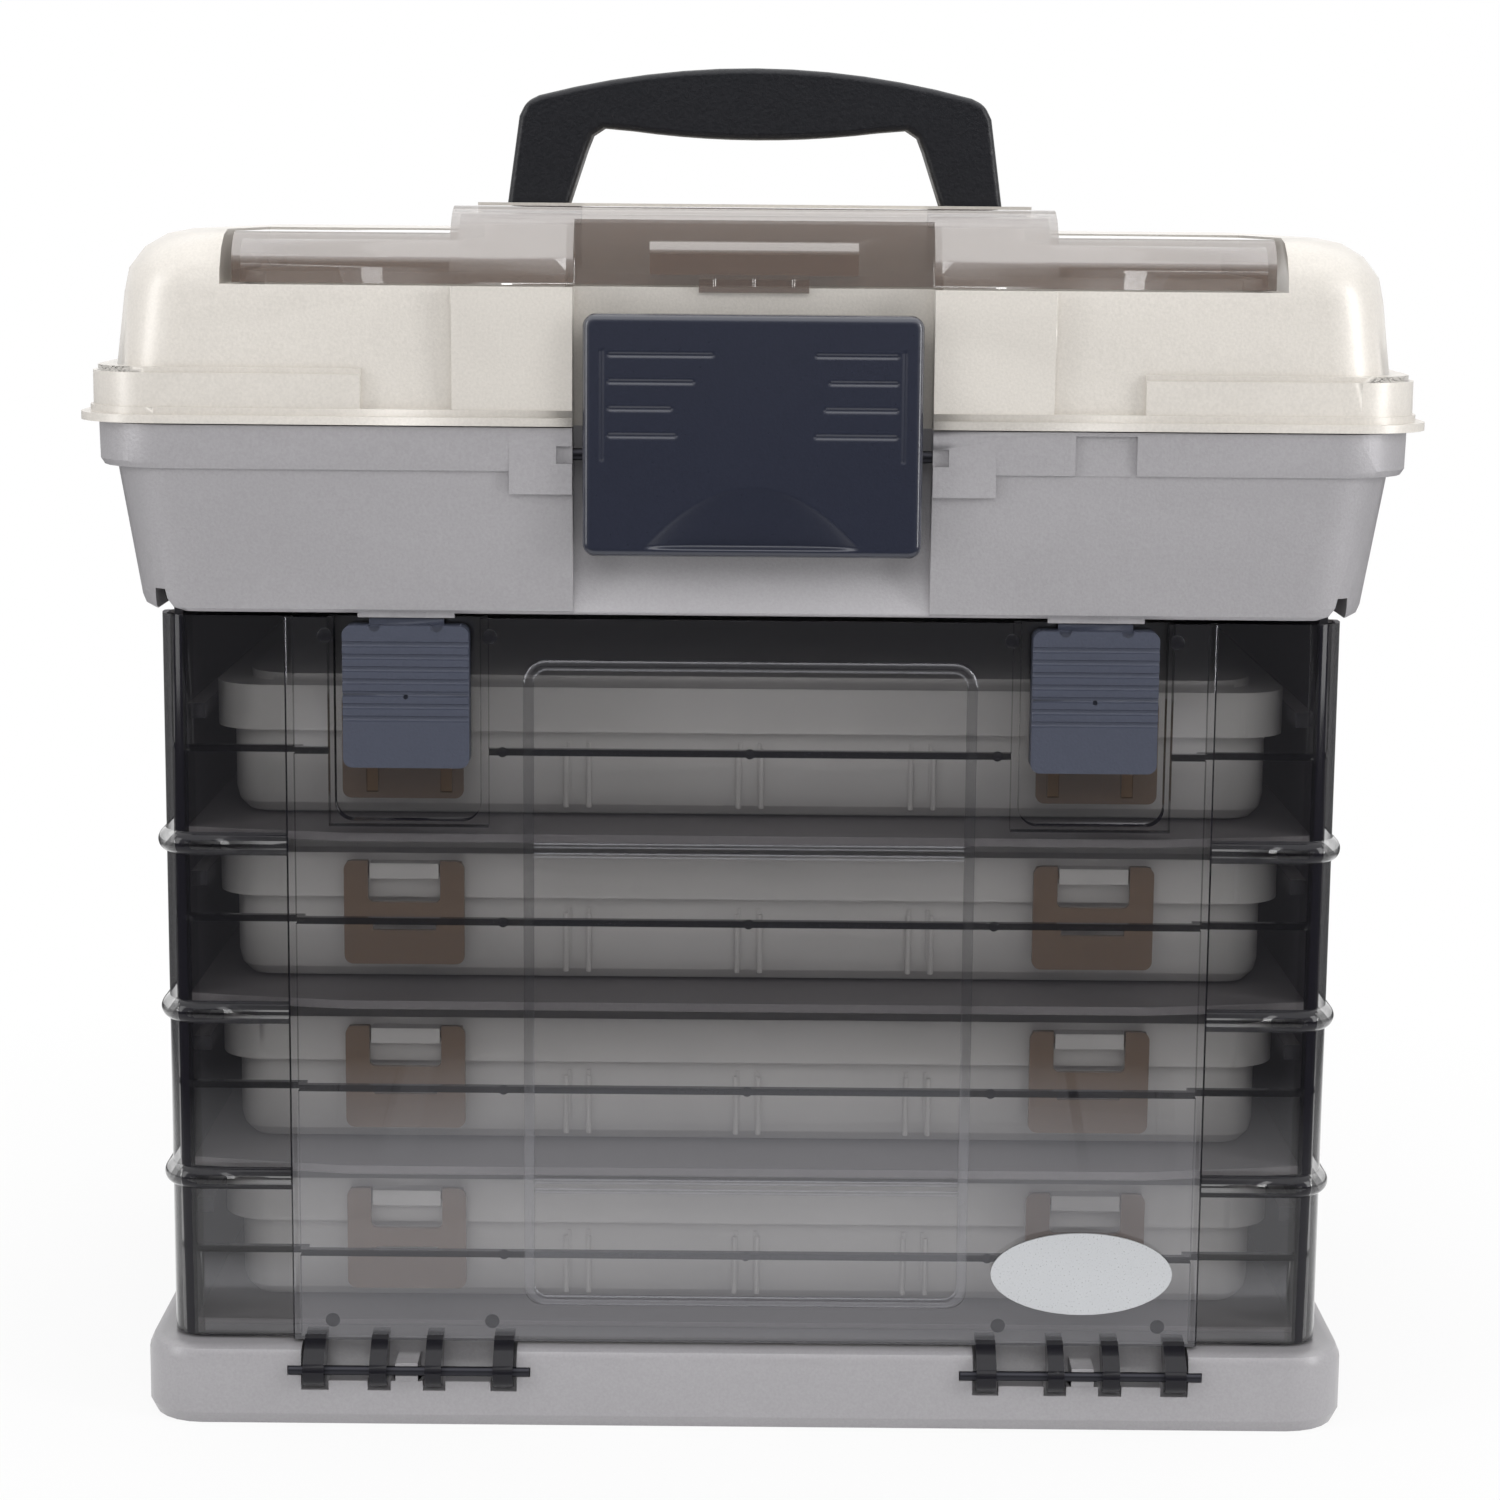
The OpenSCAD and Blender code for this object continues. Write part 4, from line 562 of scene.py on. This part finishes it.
class CabinetLid(bpy.types.Operator):
    """Dress the lid, its clear cover and the pins between them"""
    bl_idname = "cabinet.lid"
    bl_label = "Lid"

    def execute(self, context):
        s = sizes()
        # the wide rounding is for the edges of the front's raised forms, above the rim
        front_zone = low("lid").y + 16 * MM
        rim = low("lid").z + 6 * MM
        dress("lid", "lid", s.edge, soft={
            "width": s.soft_edge, "shortest": 8.0, "least_angle": 60.0, "where":
            lambda co: co.y < front_zone and co.z > rim})
        dress("lid_cover", "cover", s.thin_edge)
        dress("cover_hinge_pin", "steel")
        dress("handle_pivot_pins", "steel")
        self.tab_ribs()
        return {"FINISHED"}

    def tab_ribs(self):
        """Three short ribs on the snap tab, for the thumb."""
        middle = low("lid_cover").z + 3.2 * MM
        run_tree(bar_tree(), {
            "Count": 3, "Step": (12.5 * MM, 0.0, 0.0), "Turn": (0.0, 0.0, 0.0),
            "Length": 2.6 * MM, "Width": 1.2 * MM, "Proud": 0.5 * MM,
            "Place": (0.0, front_of("lid_cover", 0.0, middle), middle)},
            "cover_tab_ribs", "cover", BODY_OF["lid_cover"])


class CabinetHandle(bpy.types.Operator):
    """Dress the carrying handle"""
    bl_idname = "cabinet.handle"
    bl_label = "Handle"

    def execute(self, context):
        dress("handle", "handle", sizes().grip_edge, shortest=0.5, segments=4)
        return {"FINISHED"}


class CabinetLatches(bpy.types.Operator):
    """Dress the main latch and the two door latches"""
    bl_idname = "cabinet.latches"
    bl_label = "Latches"

    def execute(self, context):
        self.main_latch()
        for side in ("left", "right"):
            dress(f"door_latch_{side}", "door_latch", sizes().thin_edge)
        return {"FINISHED"}

    def main_latch(self):
        """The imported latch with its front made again, finely enough for a smooth bowl."""
        s = sizes()
        name = "main_latch_finished"
        mesh = merged_copy("main_latch", name)
        start, end = low("main_latch"), high("main_latch")
        work = bmesh.new()
        work.from_mesh(mesh)
        bmesh.ops.bisect_plane(work, geom=[*work.verts, *work.edges, *work.faces],
                               plane_co=(0.0, start.y + s.latch_round, 0.0),
                               plane_no=(0.0, -1.0, 0.0), clear_outer=True)
        half = (end.x - start.x) / 2
        height = end.z - start.z
        # cells of about 0.45 mm, so that the narrowest groove is still smooth
        columns, rows = 240, 170
        grid = []
        for row in range(rows + 1):
            up = height * row / rows
            edge = min(up, height - up)
            draw_in = 0.0
            if edge < s.latch_corner:
                draw_in = s.latch_corner - math.sqrt(s.latch_corner ** 2
                                                     - (s.latch_corner - edge) ** 2)
            reach = half - draw_in
            line = []
            for column in range(columns + 1):
                x = reach * (2 * column / columns - 1)
                y = start.y + self.front_depth(x, up, half, height)
                line.append(work.verts.new((x, y, start.z + up)))
            grid.append(line)
        for row in range(rows):
            for column in range(columns):
                work.faces.new((grid[row][column], grid[row][column + 1],
                                grid[row + 1][column + 1], grid[row + 1][column]))
        work.to_mesh(mesh)
        work.free()
        show(mesh, name, "main_latch", BODY_OF["main_latch"], ["main_latch"])

    def front_depth(self, x, up, half, height):
        """How far the latch's front lies behind its foremost plane."""
        s = sizes()
        corner, rolled = s.latch_corner, s.latch_round
        over_x = abs(x) - (half - corner)
        over_z = abs(up - height / 2) - (height / 2 - corner)
        if over_x > 0 and over_z > 0:
            inside = corner - math.hypot(over_x, over_z)
        else:
            inside = corner - max(over_x, over_z)
        inside = min(max(inside, 0.0), rolled)
        depth = rolled - math.sqrt(rolled ** 2 - (rolled - inside) ** 2)
        return depth + self.bowl_depth(x, up) + self.groove_depth(x, up, half, height)

    def bowl_depth(self, x, up):
        """Depth of the thumb bowl: deepest at a lip near the foot, with steep sides there."""
        lip, reach_x, reach_z, deepest = 2.6 * MM, 34.5 * MM, 19.5 * MM, 2.8 * MM
        share = 1 - (up - lip) / reach_z
        if not 0 < share <= 1 or abs(x) >= reach_x * math.sqrt(share):
            return 0.0
        across = abs(x) / (reach_x * math.sqrt(share))
        lip_rise = min(1.0, (up - lip) / (0.6 * MM))
        return deepest * share * (1 - across ** 4) * lip_rise

    def groove_depth(self, x, up, half, height):
        """Depth of the engraved lines, and of a fine upright groove outside them."""
        lengths = ((32, 26, 19, 20.5), (25, 20.5, 22, 25))[x > 0]  # mm, on the left and right
        top_line, pitch, half_width, deep = 12.6 * MM, 8.4 * MM, 0.8 * MM, 0.45 * MM
        outer = half - 8.5 * MM
        depth = 0.0
        for level, length in enumerate(lengths):
            z = height - top_line - level * pitch
            along = max(outer - length * MM - abs(x), abs(x) - outer, 0.0)
            away = math.hypot(along, up - z) / half_width
            if away < 1:
                depth += deep * (1 - away ** 2)
        if abs(abs(x) - (half - 5.9 * MM)) < 0.35 * MM and 30 * MM < up < height - 11 * MM:
            depth += 0.25 * MM
        return depth


class CabinetDoor(bpy.types.Operator):
    """Dress the clear door and its badge plate"""
    bl_idname = "cabinet.door"
    bl_label = "Door"

    def execute(self, context):
        s = sizes()
        panel = self.panel_half()
        door = dress("door", "smoke", s.thin_edge, soft={
            "width": s.step_edge, "held": False, "where":
            lambda co: abs(abs(co.x) - panel) < 0.1 * MM and co.y < PANEL_Y + 1 * MM})
        for finish in ("smoke_thick", "smoke_corner"):
            door.data.materials.append(MATERIALS[finish])
        for face in door.data.polygons:
            corners = [door.data.vertices[i].co for i in face.vertices]
            if self.long_way(corners, face.normal):
                face.material_index = 1
            # painted shade: the faces outside the panel, on the corner bands, take the darker
            # smoke_corner copy
            elif min(abs(corner.x) for corner in corners) > panel - 0.5 * MM:
                face.material_index = 2
        dress("badge_plate", "badge")
        self.window()
        self.pin_marks()
        return {"FINISHED"}

    def panel_half(self):
        """Half the width of the door's proud front panel, from its foremost corners."""
        return max(abs(corner.co.x) for corner in NODES["door"].data.vertices
                   if abs(corner.co.y - PANEL_Y) < 0.01 * MM)

    def long_way(self, corners, normal):
        """True on faces where the light goes a long way through the plastic."""
        half_rib, rib_height, front_hx = 1.4 * MM, 2.6 * MM, 187 * MM
        foot = min(corner.z for corner in corners)
        top = max(corner.z for corner in corners)
        # a rib lies across the middle of each bay
        bay = ((foot + top) / 2 - BAY_FLOOR) / BAY % 1
        rib = abs(bay - 0.5) * BAY < half_rib and top - foot < rib_height
        arm = foot < DOOR_FOOT - 0.5 * MM or top < DOOR_FOOT + rib_height
        # the sides of the panel's step, of the window and of the latches' pockets
        in_front = all(PANEL_Y - 4 * MM < c.y < PANEL_Y + 9 * MM and abs(c.x) < front_hx
                       for c in corners)
        return (in_front and abs(normal.y) < 0.95) or arm or rib

    def window(self):
        """The rolled rim of the window and the two lines moulded across it."""
        s = sizes()
        foot = DOOR_FOOT + s.window_margin
        top = high("door").z - s.window_margin
        front = PANEL_Y - s.window_out
        run_tree(frame_tree(), {
            "Width": 2 * s.window_hx - s.rim_width, "Height": top - foot - s.rim_width,
            "Corner": s.window_corner, "Strip": s.rim_width, "Proud": 0.6 * MM,
            "Place": (0.0, front, (foot + top) / 2)}, "window_rim", "smoke", "door")
        for level in (1, 3):
            run_tree(bar_tree(), {
                "Count": 2, "Step": (0.0, 0.0, 3.2 * MM), "Turn": (0.0, math.pi / 2, 0.0),
                "Length": 2 * (s.window_hx - s.rim_width), "Width": 1.8 * MM, "Proud": 0.5 * MM,
                "Place": (0.0, front, BAY_FLOOR + level * BAY - 3.4 * MM)},
                f"window_lines_{level}", "smoke", "door")

    def pin_marks(self):
        """Round marks of the mould's pins: in the corners of the front and along the ribs."""
        s = sizes()
        back = PANEL_Y + s.door_wall
        rise = high("door").z - DOOR_FOOT - 12 * MM
        middle = (high("door").z + DOOR_FOOT) / 2
        latch_x = (low("door_latch_left").x + high("door_latch_left").x) / 2
        for side, name in ((1, "left"), (-1, "right")):
            run_tree(stud_tree(), {
                "Columns": 2, "Rows": 2, "Across": 53 * MM, "Up": rise, "Radius": s.mark,
                "Proud": 0.35 * MM, "Place": (side * latch_x, back, middle)},
                f"door_pin_marks_{name}", "smoke_thick", "door")
        run_tree(stud_tree(), {
            "Columns": 3, "Rows": BOX_COUNT, "Across": 160 * MM, "Up": 3 * BAY,
            "Radius": 1.7 * MM, "Proud": 0.8 * MM,
            "Place": (0.0, back, BAY_FLOOR + 2 * BAY)}, "door_rib_nubs", "smoke_thick", "door")


class CabinetBoxes(bpy.types.Operator):
    """Dress the utility boxes"""
    bl_idname = "cabinet.boxes"
    bl_label = "Utility boxes"

    def execute(self, context):
        s = sizes()
        for i in range(1, BOX_COUNT + 1):
            tray, lid = f"box_{i}_tray", f"box_{i}_lid"
            dress(tray, "box", s.thin_edge)
            dress(lid, "box", s.edge)
            dress(f"box_{i}_dividers", "box")
            for side in ("left", "right"):
                dress(f"box_{i}_latch_{side}", "box_latch", s.thin_edge)
            self.tray_ribs(tray, BODY_OF[tray])
        return {"FINISHED"}

    def tray_ribs(self, tray, body):
        """Three pairs of upright ribs moulded on the front of a tray."""
        length = 20 * MM
        middle = low(tray).z + 4 * MM + length / 2
        for x, name in ((-3.8 * MM, "left"), (3.8 * MM, "right")):
            run_tree(bar_tree(), {
                "Count": 3, "Step": (57.5 * MM, 0.0, 0.0), "Turn": (0.0, 0.0, 0.0),
                "Length": length, "Width": 1.8 * MM, "Proud": 0.8 * MM,
                "Place": (x, front_of(tray, x, middle), middle)},
                f"{tray}_ribs_{name}", "box", body)


# ---------------------------------------------------------------- stage


def softbox(name, place, target, size, power):
    """A soft rectangular lamp."""
    lamp = bpy.data.lights.new(name, "AREA")
    lamp.shape = "RECTANGLE"
    lamp.size, lamp.size_y = size
    lamp.energy = power
    held = bpy.data.objects.new(name, lamp)
    bpy.context.scene.collection.objects.link(held)
    held.location = place
    held.rotation_euler = (Vector(target) - Vector(place)).to_track_quat("-Z", "Y").to_euler()
    return held


def seen_rays(tree):
    """Two values: 1 for the rays that see the studio's white, and 1 for its mirror images."""
    path = add(tree, "ShaderNodeLightPath")
    some = add(tree, "ShaderNodeMath", {0: path.outputs["Is Camera Ray"],
                                        1: path.outputs["Is Transmission Ray"]},
               operation="MAXIMUM")
    return add(tree, "ShaderNodeMath", {0: some.outputs["Value"],
                                        1: path.outputs["Is Glossy Ray"]},
               operation="MAXIMUM").outputs["Value"], path.outputs["Is Glossy Ray"]


class CabinetStage(bpy.types.Operator):
    """Set up the floor, the lamps, the white world and the camera"""
    bl_idname = "cabinet.stage"
    bl_label = "Stage"

    def execute(self, context):
        scene = context.scene
        scene.view_settings.view_transform = "Standard"
        self.floor()
        self.world(scene)
        centre = (0.0, 0.0, 0.2)
        top = softbox("top_softbox", (0.0, 0.12, 1.7), (0.0, 0.12, 0.0), (0.8, 1.3), 9.5)
        softbox("left_softbox", (-1.6, -0.9, 0.55), centre, (0.5, 1.6), 11.0)
        softbox("right_softbox", (1.6, -0.9, 0.55), centre, (0.5, 1.6), 16.0)
        fill = softbox("front_softbox", (0.0, -2.2, 1.3), centre, (1.6, 0.8), 13.0)
        # the polished plastics mirror the world's wide lamp in place of these two
        for lamp in (top, fill):
            lamp.visible_glossy = False
        self.camera(scene)
        return {"FINISHED"}

    def floor(self):
        """A white sweep: it keeps a faint shadow near the cabinet and is pure white beyond."""
        mesh = bpy.data.meshes.new("floor")
        reach = 6.0
        mesh.from_pydata([(-reach, -reach, 0), (reach, -reach, 0), (reach, reach, 0),
                          (-reach, reach, 0)], [], [(0, 1, 2, 3)])
        made, tree = blank_material("painted_floor_white")
        seen, glossy = seen_rays(tree)
        place = add(tree, "ShaderNodeTexCoord").outputs["Object"]
        far = add(tree, "ShaderNodeVectorMath", {0: place}, operation="LENGTH").outputs["Value"]
        share = add(tree, "ShaderNodeMapRange", {"Value": far, "From Min": 0.2, "From Max": 0.55,
                                                 "To Min": 0.88, "To Max": 1.0})
        lit = add(tree, "ShaderNodeMath", {0: seen, 1: share.outputs["Result"]},
                  operation="MULTIPLY")
        # the sweep ends in front of the cabinet, and what is beyond it mirrors darker
        sweep = add(tree, "ShaderNodeMapRange", {"Value": far, "From Min": 0.46, "From Max": 0.64,
                                                 "To Min": 1.0, "To Max": 0.12})
        glow_strength = add(tree, "ShaderNodeMix", {"Factor": glossy, "A": 1.0,
                                                    "B": sweep.outputs["Result"]})
        paint = add(tree, "ShaderNodeBsdfDiffuse", {"Color": (0.9, 0.9, 0.9, 1.0)})
        glow = add(tree, "ShaderNodeEmission", {"Color": (1.0, 1.0, 1.0, 1.0),
                                                "Strength": glow_strength.outputs["Result"]})
        mixed = add(tree, "ShaderNodeMixShader", {0: lit.outputs["Value"],
                                                  1: paint.outputs["BSDF"],
                                                  2: glow.outputs["Emission"]})
        add(tree, "ShaderNodeOutputMaterial", {"Surface": mixed.outputs["Shader"]})
        mesh.materials.append(made)
        ground = bpy.data.objects.new("floor", mesh)
        bpy.context.scene.collection.objects.link(ground)

    def world(self, scene):
        """A white studio: full white where it is seen, softer in mirrors and as a light."""
        world = bpy.data.worlds.new("studio")
        scene.world = world
        world.use_nodes = True
        tree = world.node_tree
        tree.nodes.clear()
        seen, glossy = seen_rays(tree)
        plain = add(tree, "ShaderNodeMix", {"Factor": seen, "A": 0.5, "B": 1.0})
        ray = add(tree, "ShaderNodeTexCoord").outputs["Generated"]
        # the wall ahead mirrors darker than the other walls and the ceiling
        way = add(tree, "ShaderNodeSeparateXYZ", {"Vector": ray}).outputs
        aside = add(tree, "ShaderNodeMath", {0: way["X"]}, operation="ABSOLUTE")
        most = add(tree, "ShaderNodeMath", {0: way["Z"], 1: aside.outputs["Value"]},
                   operation="MAXIMUM")
        most = add(tree, "ShaderNodeMath", {0: most.outputs["Value"], 1: way["Y"]},
                   operation="MAXIMUM")
        walls = add(tree, "ShaderNodeMapRange", {"Value": most.outputs["Value"],
                                                 "From Min": 0.2, "From Max": 0.6,
                                                 "To Min": 0.25, "To Max": 1.1})
        # a wide lamp overhead, which the polished plastics mirror from its front edge on
        lamp = add(tree, "ShaderNodeMapRange", {"Value": way["Z"], "From Min": 0.52,
                                                "From Max": 0.62, "To Min": 0.0, "To Max": 1.0},
                   interpolation_type="SMOOTHSTEP")
        above = add(tree, "ShaderNodeMath", {0: walls.outputs["Result"],
                                             1: lamp.outputs["Result"]}, operation="ADD")
        strength = add(tree, "ShaderNodeMix", {"Factor": glossy, "A": plain.outputs["Result"],
                                               "B": above.outputs["Value"]})
        sky = add(tree, "ShaderNodeBackground", {"Color": (1.0, 1.0, 1.0, 1.0),
                                                 "Strength": strength.outputs["Result"]})
        add(tree, "ShaderNodeOutputWorld", {"Surface": sky.outputs["Background"]})

    def camera(self, scene):
        """The photograph's own camera, as its distance, tilt and roll were solved from it."""
        data = bpy.data.cameras.new("camera")
        data.sensor_width = 36.0
        focal_pixels, image_pixels = 3335.0, 1500.0
        data.lens = focal_pixels / image_pixels * data.sensor_width
        held = bpy.data.objects.new("camera", data)
        scene.collection.objects.link(held)
        pitch, roll = math.radians(9.28), math.radians(0.5)
        ahead = Vector((0.0, math.cos(pitch), -math.sin(pitch)))
        right = Vector((1.0, 0.0, 0.0))
        up = right.cross(ahead)
        across = right * math.cos(roll) + up * math.sin(roll)
        above = up * math.cos(roll) - right * math.sin(roll)
        turn = Matrix((across, above, -ahead)).transposed().to_4x4()
        place = Matrix.Translation((0.0, -1.19405, 0.4009))
        held.matrix_world = place @ turn
        data.clip_start = 0.05
        data.clip_end = 50.0
        scene.camera = held


class CabinetPanel(bpy.types.Panel):
    """Lists the cabinet's pieces in the sidebar"""
    bl_idname = "VIEW3D_PT_cabinet"
    bl_label = "Tackle cabinet"
    bl_space_type = "VIEW_3D"
    bl_region_type = "UI"
    bl_category = "Cabinet"

    def draw(self, context):
        layout = self.layout
        for name in CabinetSizes.__annotations__:
            layout.prop(context.scene.cabinet_sizes, name)
        for name in CabinetColours.__annotations__:
            layout.prop(context.scene.cabinet_colours, name)
        for operator in OPERATORS:
            layout.operator(operator.bl_idname)


OPERATORS = (CabinetStage, CabinetBase, CabinetRack, CabinetTub, CabinetLid, CabinetHandle,
             CabinetLatches, CabinetDoor, CabinetBoxes)
CLASSES = (CabinetColours, CabinetSizes, CabinetPanel) + OPERATORS


def register():
    for cls in CLASSES:
        bpy.utils.register_class(cls)
    bpy.types.Scene.cabinet_colours = bpy.props.PointerProperty(type=CabinetColours)
    bpy.types.Scene.cabinet_sizes = bpy.props.PointerProperty(type=CabinetSizes)


def unregister():
    del bpy.types.Scene.cabinet_sizes
    del bpy.types.Scene.cabinet_colours
    for cls in reversed(CLASSES):
        bpy.utils.unregister_class(cls)


def main():
    register()
    make_materials()
    for operator in OPERATORS:
        getattr(bpy.ops.cabinet, operator.bl_idname.split(".")[1])()


if __name__ == "__main__":
    main()
